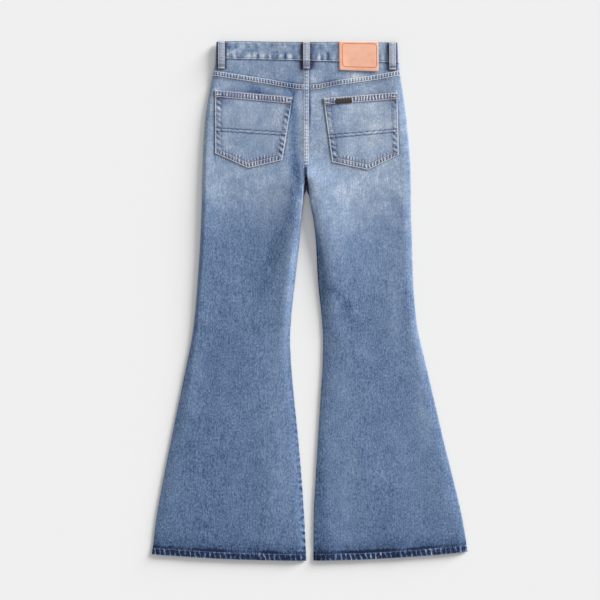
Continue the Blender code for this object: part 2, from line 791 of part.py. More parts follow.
def waist_button(collection, material):
    bm = bmesh.new()
    bmesh.ops.create_cone(
        bm, cap_ends=True, segments=32, radius1=BUTTON_RADIUS, radius2=BUTTON_RADIUS,
        depth=BUTTON_HEIGHT,
    )
    height = BUTTON_CLEAR + BUTTON_HEIGHT / 2
    bmesh.ops.translate(bm, verts=bm.verts, vec=point(-0.001, BUTTON_DOWN, height))
    button = finish_object("waist_button", bm, collection, material)
    bevel = button.modifiers.new("rim", "BEVEL")
    bevel.width = BUTTON_BEVEL
    bevel.segments = 2
    bevel.limit_method = "ANGLE"


# ---------------------------------------------------------------- the garment
def clear_scene():
    for thing in list(bpy.data.objects):
        bpy.data.objects.remove(thing)


def main():
    clear_scene()
    collection = bpy.data.collections.new("flared_jeans")
    bpy.context.scene.collection.children.link(collection)
    leg_denim = new_material("leg_denim", MID_DENIM, 0.85)
    seat_denim = new_material("seat_denim", LIGHT_DENIM, 0.85)
    leather = new_material("patch_leather", LEATHER, 0.55)
    tab_cloth = new_material("tab_cloth", DARK_TAB, 0.7)
    brass = new_material("button_metal", BRASS, 0.35, 1.0)
    zip_tape = new_material("zip_tape", ZIP_TAPE, 0.6)

    for left in (True, False):
        back_leg(left, collection, leg_denim)
        front_leg(left, collection, leg_denim)
        back_yoke(left, collection, seat_denim)
        pocket_facing(left, collection, seat_denim)
    waistband(collection, seat_denim)
    for row in BACK_LOOP_ROWS:
        back_loop(row, collection, seat_denim)
    for row in FRONT_LOOP_ROWS:
        front_loop(row, collection, seat_denim)
    for row in POCKET_ROWS:
        back_pocket(row, collection, seat_denim)
    waist_patch(collection, leather)
    pocket_tab(collection, tab_cloth)
    zip_rise = DENIM_WALL + SEAM_GAP
    shield_rise = zip_rise + ZIP_WALL + SEAM_GAP
    fly_strip("fly_zip", collection, zip_tape, -ZIP_HALF_WIDTH, ZIP_HALF_WIDTH, ZIP_END,
              zip_rise, ZIP_WALL)
    fly_strip("fly_shield", collection, seat_denim, SHIELD_LEFT, SHIELD_RIGHT, SHIELD_END,
              shield_rise, SHIELD_WALL)
    waist_button(collection, brass)


main()
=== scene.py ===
"""Flared jeans laid flat with the back side up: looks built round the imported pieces.

Metres, +Z up. The garment rests on z = 0, its waist points to +Y and the wearer's left is at -X.
"Down" is the distance below the waist edge, measured towards the hems, so y = WAIST_Y - down.
Every cloth piece is a grid that is laid between two edges and two lines, moved to its height on
the layers below, and given its wall inwards from its outer face.
"""
import math
from collections import namedtuple

import bmesh
import bpy
import numpy as np
from bpy.props import FloatProperty, FloatVectorProperty, PointerProperty
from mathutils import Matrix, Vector


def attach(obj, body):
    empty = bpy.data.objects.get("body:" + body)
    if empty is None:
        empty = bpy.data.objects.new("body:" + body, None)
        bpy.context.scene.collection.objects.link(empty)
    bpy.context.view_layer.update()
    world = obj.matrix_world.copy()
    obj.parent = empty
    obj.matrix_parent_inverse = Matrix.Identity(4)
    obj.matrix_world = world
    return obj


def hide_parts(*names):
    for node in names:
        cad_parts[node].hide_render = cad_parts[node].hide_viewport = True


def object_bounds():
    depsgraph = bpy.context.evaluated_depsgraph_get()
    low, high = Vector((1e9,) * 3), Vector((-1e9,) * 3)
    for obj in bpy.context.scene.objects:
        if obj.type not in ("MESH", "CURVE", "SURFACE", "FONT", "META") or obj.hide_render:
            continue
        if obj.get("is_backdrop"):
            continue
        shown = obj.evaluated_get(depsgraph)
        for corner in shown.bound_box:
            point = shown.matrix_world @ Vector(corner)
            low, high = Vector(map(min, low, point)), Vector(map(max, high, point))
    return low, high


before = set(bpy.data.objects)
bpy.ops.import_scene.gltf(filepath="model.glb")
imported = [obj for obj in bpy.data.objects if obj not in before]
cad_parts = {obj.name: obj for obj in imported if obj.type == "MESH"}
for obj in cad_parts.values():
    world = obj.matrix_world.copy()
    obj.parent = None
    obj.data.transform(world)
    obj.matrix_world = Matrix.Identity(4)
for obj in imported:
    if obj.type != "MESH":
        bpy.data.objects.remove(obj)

bl_info = {
    "name": "Flared Jeans",
    "version": (1, 0, 0),
    "blender": (4, 5, 0),
    "location": "View3D > Sidebar > Jeans",
    "description": "Washed denim, seams and stitching for jeans that lie flat",
    "category": "Add Mesh",
}

CAD_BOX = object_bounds()
MM = 0.001
FULL_TURN = 2 * math.pi

# ------------ sizes shared with the solids
WAIST_Y = 0.5368
SEAM_GAP = 0.0003
DENIM_WALL = 0.0015
HEM_WALL = 0.0026
FELLED_WALL = 0.0024
POCKET_WALL = 0.0014
POCKET_MOUTH_WALL = 0.0021
BAND_WALL = 0.0022
LOOP_WALL = 0.0018
FRONT_LOOP_WALL = 0.0013
PATCH_WALL = 0.0016
TAB_WALL = 0.001
HEM_WIDTH = 0.014
FELLED_WIDTH = 0.0124
YOKE_FELL_WIDTH = 0.0115
STEP_RUN = 0.0012
FELL_FADE_START = 0.262
BAND_LIFT = 0.0032
LIFT_START = 0.04
LIFT_END = 0.12
EDGE_CURL = 0.0012
CURL_REACH = 0.008
FOLD_REACH = 0.016
LOFT = 0.0021
FLY_LOFT = 0.00135
FLY_HALF_WIDTH = 0.042
FLY_LOFT_RUN = 0.055
FLY_LOFT_DOWN = 0.19
FLY_LOFT_END = 0.25
CROTCH_START = 0.25
CROTCH_END = 0.3
CROTCH_REACH = 0.04
HEM_RISE_RUN = 0.008
FRONT_DIP = 0.014
BAND_INNER_SIDE = 0.0065
BAND_INNER_RISE = 0.0017
BAND_FRONT_MID = BAND_LIFT + BAND_WALL / 2
BAND_BACK_MID = BAND_INNER_SIDE + BAND_WALL / 2
LAP_OUTER_END = 0.018
LAP_INNER_END = -0.037
LAP_STEP = BAND_WALL + SEAM_GAP
LAP_RAMP_START = 0.05
LAP_RAMP_END = 0.023
BAND_FLARE = 0.0007
BAND_FLARE_REACH = 0.18
BAND_SIDE_DOWN = 0.02
LOOP_WIDTH = 0.0145
LOOP_ARCH = 0.0014
LOOP_END_RUN = 0.22
LOOP_STEP_RUN = 0.006
LOOP_TOP_INSET = 0.0003
FRONT_LOOP_ARCH = 0.0009
SCOOP_WIDTH = 0.105
SCOOP_DEPTH = 0.088
SCOOP_SIDE_DOWN = 0.08
BUTTON_RADIUS = 0.0085
BUTTON_HEIGHT = 0.0026
BUTTON_ACROSS = -0.001
BUTTON_DOWN = 0.035
BUTTON_CLEAR = 0.0003

# Outline, in millimetres from the centre of the garment's width
LegRow = namedtuple("LegRow", "down left_outer left_inner right_inner right_outer")
LEG_ROWS = [LegRow(*row) for row in (
    (0, -193.5, -1.0, -1.0, 181.0), (40, -195.0, -1.0, -1.0, 184.0),
    (80, -203.0, -1.0, -1.0, 189.0), (110, -209.0, -1.0, -1.0, 193.5),
    (160, -216.5, -1.0, -1.0, 200.5), (236, -221.5, -1.5, -1.5, 207.5),
    (255, -222.1, -4.2, -4.2, 208.4), (270, -222.5, -7.5, -6.7, 209.0),
    (286, -223.0, -9.8, -4.4, 209.2), (327, -223.7, -12.8, -0.5, 209.6),
    (368, -225.0, -17.5, 7.5, 210.2), (410, -226.7, -20.8, 12.5, 211.5),
    (493, -232.0, -30.0, 17.0, 214.0), (575, -239.0, -38.5, 25.0, 220.5),
    (617, -244.8, -40.5, 27.5, 228.0), (658, -253.0, -39.0, 27.0, 238.0),
    (741, -270.0, -32.0, 22.0, 257.5), (824, -287.0, -23.5, 17.0, 277.0),
    (907, -303.5, -16.5, 12.0, 297.5), (989, -318.0, -11.0, 8.0, 316.5),
    (1060, -327.0, -7.5, 7.5, 328.0),
)]

# Lines across the garment, in millimetres: how far down each lies at a place across
BAND_TOP_ROWS = ((-195, 0.5), (-155, -1.0), (-60, 0.5), (-1, 1.2), (60, 0.8), (183, 2.0))
BAND_BOTTOM_ROWS = ((-195, 34.5), (-150, 35.8), (-60, 38.0), (-1, 39.8), (60, 41.4), (183, 43.0))
YOKE_SEAM_ROWS = ((-205, 69.5), (-104, 85.0), (-1, 99.5), (65, 89.0), (134, 79.5), (195, 68.0))
LEFT_HEM_ROWS = ((-327, 1061.0), (-250, 1066.0), (-172, 1070.5), (-90, 1073.0), (-8, 1074.5))
RIGHT_HEM_ROWS = ((8, 1074.0), (90, 1072.5), (168, 1068.5), (250, 1063.0), (327, 1055.5))

# Folds of the upper side, in millimetres: a soft ridge (or trough) from start to end
RunRow = namedtuple("RunRow", "start_across start_down end_across end_down half_width height")
FOLD_ROWS = [RunRow(*row) for row in (
    (-33, 285, -104, 520, 19, -1.25), (-26, 350, -60, 600, 12, 0.8),
    (-196, 430, -150, 640, 30, 0.7), (-140, 560, -196, 830, 34, -0.6),
    (-214, 760, -262, 1050, 30, 0.65), (-84, 700, -70, 1055, 32, 0.75),
    (-150, 830, -160, 1060, 30, -0.55), (18, 370, 44, 560, 12, -0.95), (66, 290, 96, 520, 28, 0.7),
    (60, 500, 150, 640, 26, -0.95), (176, 430, 170, 620, 30, 0.6), (52, 700, 44, 1050, 24, -0.7),
    (116, 720, 128, 1055, 30, 0.75), (206, 720, 236, 1050, 28, -0.6),
    (-120, 272, -150, 400, 34, 0.5), (120, 275, 140, 400, 34, 0.45),
)]

# Back pockets, in millimetres: corners as (across, down), the two rows sewn across their middle
# (down at the left and the right side) and how far down the mouth's hem reaches
PocketRow = namedtuple(
    "PocketRow",
    "name node top_left top_right bottom_right point bottom_left middle_left middle_right",
)
POCKET_ROWS = (
    PocketRow("pocket_left", "back_pocket_left", (-196.5, 98.5), (-34.5, 113.5), (-56.5, 245.0),
              (-127.0, 261.5), (-196.0, 230.5), (177.6, 184.2), (188.2, 194.8)),
    PocketRow("pocket_right", "back_pocket_right", (27.5, 115.5), (181.5, 103.5), (184.5, 234.5),
              (120.5, 265.0), (46.0, 249.0), (192.1, 198.7), (180.3, 186.3)),
)
POCKET_HEM = 0.0148

# Two of a loop's values are strengths of painted shade: in a crease across it and along its far
# side.
LoopRow = namedtuple("LoopRow", "name node across end_down seam_rise crimp far_shade")
BACK_LOOP_ROWS = (
    LoopRow("loop_back_left", "belt_loop_back_left", -182.6, 55.5, 0.0, 0.2, 1.2),
    LoopRow("loop_back_centre", "belt_loop_back_centre", -6.8, 55.5, 0.9, 1.8, 1.4),
    LoopRow("loop_back_right", "belt_loop_back_right", 171.2, 58.0, 0.0, 0.0, 0.2),
)
FRONT_LOOP_ROWS = (
    LoopRow("loop_front_left", "belt_loop_front_left", -104.0, 66.0, 0.0, 0.0, 0.0),
    LoopRow("loop_front_right", "belt_loop_front_right", 94.0, 69.0, 0.0, 0.0, 0.0),
)
QuadRow = namedtuple("QuadRow", "top_left top_right bottom_right bottom_left")
PATCH_CORNERS = QuadRow((60.5, -0.6), (141.5, 0.2), (142.0, 61.5), (61.5, 58.5))
TAB_CORNERS = QuadRow((53.5, 116.0), (87.0, 113.6), (87.5, 123.4), (54.0, 126.0))

# ------------ sizes of the finer forms
# Finer creases of the upper side, listed as the folds above are
CREASE_ROWS = [RunRow(*row) for row in (
    (-31, 420, -52, 640, 12, 0.8), (42, 470, 66, 660, 16, 0.8), (-60, 292, -128, 330, 7, 0.22),
    (24, 300, 80, 352, 8, 0.25), (-205, 300, -120, 352, 9, -0.2), (205, 318, 120, 372, 9, -0.22),
    (-212, 560, -120, 612, 13, -0.35), (-60, 585, -150, 640, 12, -0.3),
    (205, 570, 96, 625, 13, -0.35), (44, 600, 120, 660, 11, 0.3),
    (-232, 900, -222, 1058, 13, 0.35), (-118, 860, -112, 1060, 14, -0.4),
    (-42, 900, -36, 1064, 12, 0.35), (84, 880, 88, 1062, 13, -0.4),
    (160, 900, 170, 1060, 14, 0.35), (268, 900, 284, 1050, 12, 0.35),
)]

# Soft darker and lighter runs of the wash, and of painted shade and painted highlights along folds,
# edges and the crotch; each gives its change of tone in thousandths as height
WASH_AND_SHADE_ROWS = [RunRow(*row) for row in (
    (-37, 60, -24, 325, 9, -190), (-22, 88, -22, 160, 5, 110), (6, 66, 7, 112, 8, 120),
    (8, 286, 12, 322, 8, 150), (-23, 245, -20, 330, 6, -150), (8, 162, 9, 200, 6, -90),
    (52, 86, 130, 76, 7, 100), (12, 290, 50, 362, 22, -60), (-130, 92, -94, 104, 6, -150),
    (-27, 225, -42, 385, 11, -170), (-82, 300, -90, 400, 18, 60), (-54, 370, -108, 535, 15, -90),
    (-32, 370, -52, 660, 14, 130), (-64, 540, -58, 1080, 30, 65), (-192, 520, -236, 1100, 46, -55),
    (-150, 780, -170, 1100, 50, -45), (-226, 600, -240, 780, 14, 90), (13, 395, 37, 560, 11, -120),
    (35, 500, 92, 556, 10, -150), (60, 540, 116, 610, 13, -110), (160, 450, 182, 640, 16, 85),
    (212, 560, 246, 880, 15, 120), (168, 290, 188, 370, 14, -90), (26, 860, 30, 1120, 12, -110),
    (76, 640, 74, 1100, 22, 55), (150, 900, 170, 1100, 30, -50), (-186, 96, -176, 132, 9, -150),
    (-130, 88, -96, 98, 6, -150), (-50, 62, -50, 118, 10, -150), (-70, 118, -62, 200, 15, 90),
    (26, 76, 70, 96, 9, -150), (84, 70, 132, 78, 8, 130), (45, 112, 57, 262, 8, -170),
    (58, 110, 72, 225, 7, -130), (46, 126, 86, 146, 7, -110), (-38, 66, -36, 290, 7, -120),
    (-135, 100, -100, 106, 5, -130), (72, 70, 120, 86, 9, 110), (192, 50, 209, 350, 9, -190),
    (26, 262, 40, 314, 13, -90), (120, 120, 122, 200, 20, 65),
)]
# Puckers and pale worn patches of the waistband's back half, listed as the washes are
BAND_WASH_ROWS = [RunRow(*row) for row in (
    (-161, 27, -160, 36, 3.0, -200), (-172, 12, -142, 13, 4.0, -150), (-122, 27, -22, 29, 4.0, 80),
    (-144, 22, -144, 38, 3.6, -340), (-107, 24, -107, 39, 3.0, -300), (-88, 26, -88, 39, 4.0, -130),
    (-72, 20, -72, 40, 6.0, -330), (-51, 22, -51, 40, 4.0, -330), (-30, 26, -29, 41, 4.5, -180),
    (-157, 32, -150, 33, 4.0, 170), (-138, 30, -112, 31, 5.0, 230), (-99, 29, -93, 31, 5.0, 220),
    (-83, 32, -79, 33, 3.5, 200), (-63, 30, -59, 32, 4.0, 220), (-44, 29, -37, 32, 5.0, 220),
    (-24, 31, -12, 33, 5.0, 90), (-142, 17.5, -106, 18.5, 2.0, -150), (-84, 21, -20, 22, 2.4, -110),
    (-165, 8, -169, 15, 2.8, -320), (-155, 4, -154, 13, 2.4, -220), (-128, 5, -128, 15, 2.2, -220),
    (-111, 5, -110, 15, 2.4, -200), (-79, 4, -78, 14, 2.4, -160), (-35, 6, -34, 20, 2.6, -300),
    (-147, 9, -133, 10, 4.5, 100), (-123, 9, -115, 10, 4.5, 100), (-102, 9, -86, 10, 4.5, 90),
    (-70, 9, -42, 10, 4.5, 80), (-174, 28, -140, 9, 1.6, 200), (16, 32, 22, 35, 5.0, 380),
    (26, 28, 26, 40, 3.0, -160), (31, 33, 34, 35, 3.2, 190), (38, 20, 38, 41, 3.2, -360),
    (43, 31, 43, 36, 2.6, 220), (49, 31, 53, 34, 3.6, 160), (13, 9, 17, 12, 4.0, 230),
    (23, 6, 23, 18, 3.2, -220), (30, 9, 42, 10, 4.0, 80), (51, 6, 50, 20, 3.0, -200),
    (147, 31, 158, 34, 6.0, 150), (-165, 29, -20, 33, 7.0, 45),
)]
# Edges that roll over, and where the fronts still touch below the crotch
ROLL_REACH = 0.0055
ROLL_DROP = DENIM_WALL + SEAM_GAP / 2
FRONT_CLEAR = 0.0003
FRONT_WALL = DENIM_WALL - FRONT_CLEAR
CROTCH_JOIN_START = 0.303
CROTCH_JOIN_END = 0.321

# Fullness of the legs, hips and thighs over the solids, and how flat the hems lie
FULLNESS_START = 0.06
FULLNESS_END = 0.15
FULLNESS_REACH = 0.028
HIP_REACH = 0.008
HIP_RISE = 0.0014
LEFT_HIP_RISE = 0.002
THIGH_RISE = 0.01
THIGH_FALL = 0.058
HEM_SINK = 0.0015
HEM_PROUD = 0.0004

# Rounding of the pieces' rims: its radius, and the most of a wall that it may take
HEM_RIM = 0.0011
CLOTH_RIM = 0.0006
LOOP_RIM = 0.0009
PATCH_RIM = 0.0008
TAB_RIM = 0.0005
RIM_SHARE = 0.47
BAND_RIM_DROP = 0.00085

# Rows of stitches: how far each lies from the edge of its piece or seam
ROW_IN = 0.0018
FELL_ROW_IN = 0.0106
YOKE_ROW_IN = 0.0015
YOKE_ROW_OUT = 0.0098
POCKET_ROW_OUT = 0.0019
POCKET_ROW_IN = 0.0122
MOUTH_ROW_OUT = 0.0022
MOUTH_ROW_IN = 0.014
HEM_ROW = 0.0128
BAND_ROW_TOP = 0.0024
BAND_ROW_BOTTOM = 0.0018
LOOP_ROW = 0.0021
LOOP_END_ROW = 0.0034
LAP_ROW_IN = 0.0022
FRONT_ROWS = (0.0022, 0.0085)
FLY_TOP = 0.058
FLY_BEND = 0.16
FLY_BEND_ACROSS = 0.032
FLY_BEND_DOWN = 0.03
FLY_FOOT = -0.002
FLY_ROWS_APART = 0.0065

# How the thread lies in its rows: each stitch's ends as shares of its pitch, and the groove
STITCH_ENDS = (0.1, 0.92)
HEM_PITCH = 0.0042
PATCH_PITCH = 0.0027
TACK_PITCH = 0.00062
FLOOR_SHARE = 0.42
STITCH_GROOVE = 0.00022
GROOVE_HALF_WIDTH = 0.0011
ROW_HALF_WIDTH = 0.0008
ROW_FAR = 6.0

# Seams, hems and what is sewn on: a step's half run, a seam's pillow, and small offsets
TURN_RUN = 0.0006
PILLOW = 0.0003
HEM_SLANT = 0.16
BAND_PROUD = 0.0006
LOOP_PROUD = 0.001
LOOP_REACH = 1.5
POCKET_END_SHARE = 1.18
TAB_HANG = 2.2
TAB_CLEAR = 0.0002
TAB_IN = 0.004
PATCH_CORNER_RADIUS = 0.0028
BorderRow = namedtuple("BorderRow", "left top bottom right")
BORDER = BorderRow(0.0062, 0.0044, 0.0074, 0.0036)
BORDER_RADIUS = 0.0062

# Tones of the wash, from 0 (raw indigo) to 1, and how far down the light seat reaches
SEAT_TONE = 0.7
LEG_TONE = 0.44
BAND_TONE = 0.675
LOOP_TONE = 0.85
LOOP_GREY = 0.62
FRONT_LOOP_TONE = 0.62
POCKET_TONE = -0.01
SEAT_REACH = 0.347
SEAT_FADE = 0.072

# Worn edges and the shade beside what is sewn on. A loop's shade is its strength and reach on
# the low side, then on the high side. The band's front half repeats its back half this far on
SIDE_WEAR = 0.22
EDGE_WEAR = 0.45
EDGE_HALF_WIDTH = 0.0015
SHADE_OUT = 0.0008
SHADE_HALF_WIDTH = 0.0016
LOOP_SHADES = ((1.7, 0.004, 2.6, 0.0038), (2.6, 0.0062, 1.9, 0.011), (1.9, 0.007, 2.2, 0.0028))
FRONT_ALONG = 3.0

# Spacing of the puckers between two rows of stitches
YOKE_PUCKER = 0.006
FELL_PUCKER = 0.0068
MOUTH_PUCKER = 0.0062
POCKET_SIDE_PUCKER = 0.0118
POCKET_END_PUCKER = 0.0064
BAND_PUCKER = 0.0148
HEM_PUCKER = 0.0104
INSEAM_PUCKER = 0.015
LOOP_PUCKER = 0.006
FRONT_LOOP_PUCKER = 0.0075
FELL_LADDER = 0.32

# Distances of a grid's first lines from an edge, close together at rims and rows of stitches
TOP_STRIPS = (0.0, 0.0004, 0.0012, 0.0024)
ACROSS_STRIPS = (0.0, 0.0002, 0.0008, 0.0018, 0.0031, 0.0046, 0.0062, 0.0086, 0.0115, 0.015)
FELL_STRIPS = (0.0, 0.0003, 0.001, 0.0018, 0.0028, 0.0044, 0.0062, 0.008, 0.0096, 0.0106, 0.0116,
               0.0124, 0.0134, 0.015)
YOKE_SEAM_STRIPS = (0.0, 0.0003, 0.0009, 0.0015, 0.0023, 0.0038, 0.0056, 0.0074, 0.009, 0.0098,
                    0.0106, 0.0115, 0.0125)
HEM_STRIPS = (0.0, 0.0004, 0.0012, 0.0026, 0.0045, 0.0065, 0.0085, 0.0105, 0.012, 0.0128, 0.0136,
              0.0142, 0.0152, 0.017)
SCOOP_STRIP_SHARES = (0.2, 0.3, 0.4, 0.5, 0.6, 0.7, 0.8, 0.88, 0.94, 0.98, 1.0)
BAND_STRIPS = ((0.0, 0.0003, 0.001, 0.0017, 0.0024, 0.0034),
               (0.0, 0.0003, 0.001, 0.0018, 0.0026, 0.0038))
POCKET_STRIPS = (0.0, 0.0002, 0.0007, 0.0013, 0.0019, 0.0027, 0.0042, 0.006, 0.008, 0.01,
                 0.0113, 0.0122, 0.0131, 0.0146)
MOUTH_STRIPS = (0.0, 0.0002, 0.0007, 0.0014, 0.0022, 0.0031, 0.005, 0.007, 0.009, 0.011,
                0.0128, 0.014, 0.0148, 0.0156, 0.0175)
LOOP_STRIPS = (0.0, 0.0003, 0.0008, 0.0014, 0.0021, 0.0029, 0.004)
RIM_STRIPS = (0.0, 0.0003, 0.0008, 0.0016, 0.0026)
TAB_STRIPS = (0.0, 0.0002, 0.0006, 0.0012)
LAY_OUT_TURNS = 8

# Steps along the band: front half, each side's turn, back half and the front's inner end
BAND_STEPS = (70, 10, 210, 80)

# Each piece keeps its marks in three attributes of three values. A wall is thinnest at this share
MARK_LAYERS = ("wash_marks", "pucker_marks", "edge_marks")
THINNEST_SHARE = 0.02


def on_screen(colour):
    """Linear colour of an on-screen one, 0 to 255."""
    return tuple(((c / 255 + 0.055) / 1.055) ** 2.4 if c > 10 else c / 255 / 12.92 for c in colour)


def solid(colour):
    return *on_screen(colour), 1.0


# ------------ colours, as seen on screen
# Denim from raw indigo to fully washed out
DENIM_STOPS = (
    (0.0, (20, 32, 60)), (0.1, (36, 52, 86)), (0.2, (56, 76, 109)), (0.3, (75, 97, 131)),
    (0.45, (97, 120, 153)), (0.57, (117, 137, 168)), (0.68, (132, 150, 175)),
    (0.78, (149, 166, 190)), (0.88, (170, 185, 205)), (1.0, (208, 213, 220)),
)
LEATHER_STOPS = (
    (0.0, (176, 104, 78)), (0.3, (214, 146, 116)), (0.62, (240, 182, 154)), (1.0, (250, 206, 182)),
)
TAB_STOPS = ((0.0, (36, 30, 26)), (0.5, (61, 53, 45)), (1.0, (98, 86, 74)))
BRASS_STOPS = ((0.0, (112, 84, 52)), (0.5, (168, 132, 84)), (1.0, (206, 172, 120)))
TAPE_STOPS = ((0.0, (58, 70, 96)), (1.0, (122, 136, 164)))
BROWN_CAST = (112, 92, 98)
SEWN_CAST = (206, 201, 202)
GREY_CAST = (158, 160, 168)

# Weaves: distance from one rib to the next, and how far the twill's wales lean
WARP_SPACING = 0.00062
WALE_SPACING = 0.00118
WALE_SLOPE = 0.78
RIB_SPACING = 0.0009
PICK_SPACING = 0.0007
BONE_SPACING = 0.0016
TAB_SLOPE = 0.072


# ------------ curves and steps
def curve_through(pairs):
    """Smooth curve through (place, value) pairs that never overshoots them."""
    places = np.array([place for place, _ in pairs])
    values = np.array([value for _, value in pairs])
    rises = np.diff(values) / np.diff(places)
    before, after = rises[:-1], rises[1:]
    level = before * after <= 0
    inner = np.where(level, 0.0, 2 * before * after / np.where(level, 1.0, before + after))
    slopes = np.concatenate([rises[:1], inner, rises[-1:]])

    def value_at(place):
        place = np.asarray(place, float)
        k = np.clip(np.searchsorted(places, place, side="right") - 1, 0, len(places) - 2)
        run = places[k + 1] - places[k]
        beyond = (place - places[k]) / run
        t = np.clip(beyond, 0.0, 1.0)
        blend = t * t * (3 - 2 * t)
        bow = slopes[k] * t * (1 - t) ** 2 - slopes[k + 1] * t * t * (1 - t)
        ends = (beyond - t) * run * np.where(beyond < t, slopes[0], slopes[-1])
        return values[k] * (1 - blend) + values[k + 1] * blend + run * bow + ends

    return value_at


def curve_across(rows):
    return curve_through([(across * MM, down * MM) for across, down in rows])


def curve_down(column):
    return curve_through([(row.down * MM, getattr(row, column) * MM) for row in LEG_ROWS])


def smooth_step(start, end, place):
    t = np.clip((place - start) / (end - start), 0.0, 1.0)
    return t * t * (3 - 2 * t)


def mix(start, end, t):
    return start + (end - start) * t


def bell(distance, half_width):
    return np.exp(-(distance / half_width) ** 2)


def plateau(rise_start, rise_end, fall_start, fall_end, place):
    """Rises from nought to one, stays there and falls to nought again."""
    return smooth_step(rise_start, rise_end, place) * (1 - smooth_step(fall_start, fall_end, place))


def between(start, end, place):
    """Arch that is nought at both ends and one half way."""
    return np.sin(np.pi * np.clip((place - start) / (end - start), 0.0, 1.0))


def band_between(start, end, place, fade=0.0008):
    """One between two places, with short fades inside them."""
    return plateau(start, start + fade, end - fade, end, place)


class Unevenness:
    """Irregular smooth field from -1 to 1 whose lumps have the given lengths."""

    COUNT = 257

    def __init__(self, seed, across, down):
        self.table = np.random.default_rng(seed).uniform(-1, 1, (self.COUNT, self.COUNT))
        self.lengths = across, down

    def __call__(self, across, down):
        u = np.asarray(across) / self.lengths[0] + self.COUNT / 2
        v = np.asarray(down) / self.lengths[1]
        i, j = np.floor(u).astype(int), np.floor(v).astype(int)
        s, t = u - i, v - j
        s, t = s * s * (3 - 2 * s), t * t * (3 - 2 * t)
        i, j = i % (self.COUNT - 1), j % (self.COUNT - 1)
        near = mix(self.table[i, j], self.table[i + 1, j], s)
        far = mix(self.table[i, j + 1], self.table[i + 1, j + 1], s)
        return mix(near, far, t)


left_outer = curve_down("left_outer")
left_inner = curve_down("left_inner")
right_inner = curve_down("right_inner")
right_outer = curve_down("right_outer")
band_top = curve_across(BAND_TOP_ROWS)
band_bottom = curve_across(BAND_BOTTOM_ROWS)
yoke_seam = curve_across(YOKE_SEAM_ROWS)
left_hem = curve_across(LEFT_HEM_ROWS)
right_hem = curve_across(RIGHT_HEM_ROWS)

slack = Unevenness(11, 0.052, 0.09)
crumple = Unevenness(23, 0.016, 0.022)
drift = Unevenness(37, 0.019, 0.024)
band_crease = Unevenness(41, 0.02, 0.009)
wash_edge = Unevenness(53, 0.045, 0.06)
hem_drift = Unevenness(61, 0.034, 0.05)
pocket_pull = Unevenness(71, 0.017, 0.017)


# ------------ heights of the layers
def centre_line(down):
    return (left_inner(down) + right_inner(down)) / 2


def fell_line(down):
    """Edge of the felled centre seam, which stays straight where the legs begin to part."""
    return -0.00115 - 0.0016 * smooth_step(0.236, 0.275, down)


def edge_distances(across, down):
    """Distances to the side edge and to the inner leg edge, which is open below the crotch."""
    on_left = across < centre_line(down)
    outer = np.where(on_left, across - left_outer(down), right_outer(down) - across)
    inner = np.where(on_left, left_inner(down) - across, across - right_inner(down))
    joined = 1 - smooth_step(CROTCH_START, CROTCH_END, down)
    return np.maximum(outer, 0.0), np.maximum(inner, 0.0) + CROTCH_REACH * joined


def edge_curl(distance):
    return EDGE_CURL * np.maximum(1 - distance / CURL_REACH, 0.0) ** 2


def edge_swell(distance, reach=FOLD_REACH):
    return np.sin(np.pi / 2 * np.minimum(distance / reach, 1.0))


def edge_round(distance, radius, drop):
    """How far a face falls away towards an edge that is rounded over this radius."""
    t = 1 - np.clip(distance / radius, 0.0, 1.0)
    return drop * (1 - np.sqrt(1 - t * t))


def hem_line(across, down):
    return np.where(across < centre_line(down), left_hem(across), right_hem(across))


def front_lower(across, down):
    outer, inner = edge_distances(across, down)
    lift = BAND_LIFT * (1 - smooth_step(LIFT_START, LIFT_END, down))
    return lift + edge_curl(outer) + edge_curl(inner)


def fly_share(across):
    return 1 - smooth_step(FLY_HALF_WIDTH, FLY_HALF_WIDTH + FLY_LOFT_RUN, np.abs(across))


def fold_height(rows, across, down):
    total = 0.0
    for row in rows:
        start = np.array((row.start_across, row.start_down)) * MM
        run = np.array((row.end_across, row.end_down)) * MM - start
        t = ((across - start[0]) * run[0] + (down - start[1]) * run[1]) / run.dot(run)
        aside = np.hypot(across - start[0] - run[0] * t, down - start[1] - run[1] * t)
        share = np.clip(1 - (2 * t - 1) ** 4, 0.0, 1.0)
        total += row.height * MM * bell(aside, row.half_width * MM) * share
    return total


def back_outer(across, down):
    """Outer face of the solids' back panels and yoke."""
    outer, inner = edge_distances(across, down)
    fly = fly_share(across) * (1 - smooth_step(FLY_LOFT_DOWN, FLY_LOFT_END, down))
    loft = LOFT + FLY_LOFT * fly + fold_height(FOLD_ROWS, across, down)
    hem = hem_line(across, down)
    hem_rise = (HEM_WALL - DENIM_WALL) * smooth_step(
        hem - HEM_WIDTH - HEM_RISE_RUN, hem - HEM_WIDTH, down
    )
    swell = edge_swell(outer) * edge_swell(inner)
    return front_lower(across, down) + 2 * DENIM_WALL + SEAM_GAP + loft * swell + hem_rise


def under_pocket(across, down):
    """One below a back pocket, nought outside it, and a soft step over its edges."""
    share = 0.0
    for row in POCKET_ROWS:
        left = mix(row.top_left[0], row.bottom_left[0], 0.5) * MM
        right = mix(row.top_right[0], row.bottom_right[0], 0.5) * MM
        top = mix(row.top_left[1], row.top_right[1], 0.5) * MM
        bottom = row.point[1] * MM
        inside = plateau(left - 0.012, left + 0.004, right - 0.004, right + 0.012, across)
        share += inside * plateau(top - 0.016, top - 0.002, bottom - 0.006, bottom + 0.008, down)
    return np.clip(share, 0.0, 1.0)


def thigh_roll(inner, down):
    """Thick soft roll along the inner edges below the crotch, wider and lower further down."""
    reach = 0.0035 + 0.0205 * smooth_step(0.355, 0.515, down)
    rise = plateau(0.222, 0.285, 0.36, 0.64, down)
    beyond = np.maximum(inner - reach, 0.0)
    return THIGH_RISE * rise * edge_swell(inner, reach) * bell(beyond, THIGH_FALL)


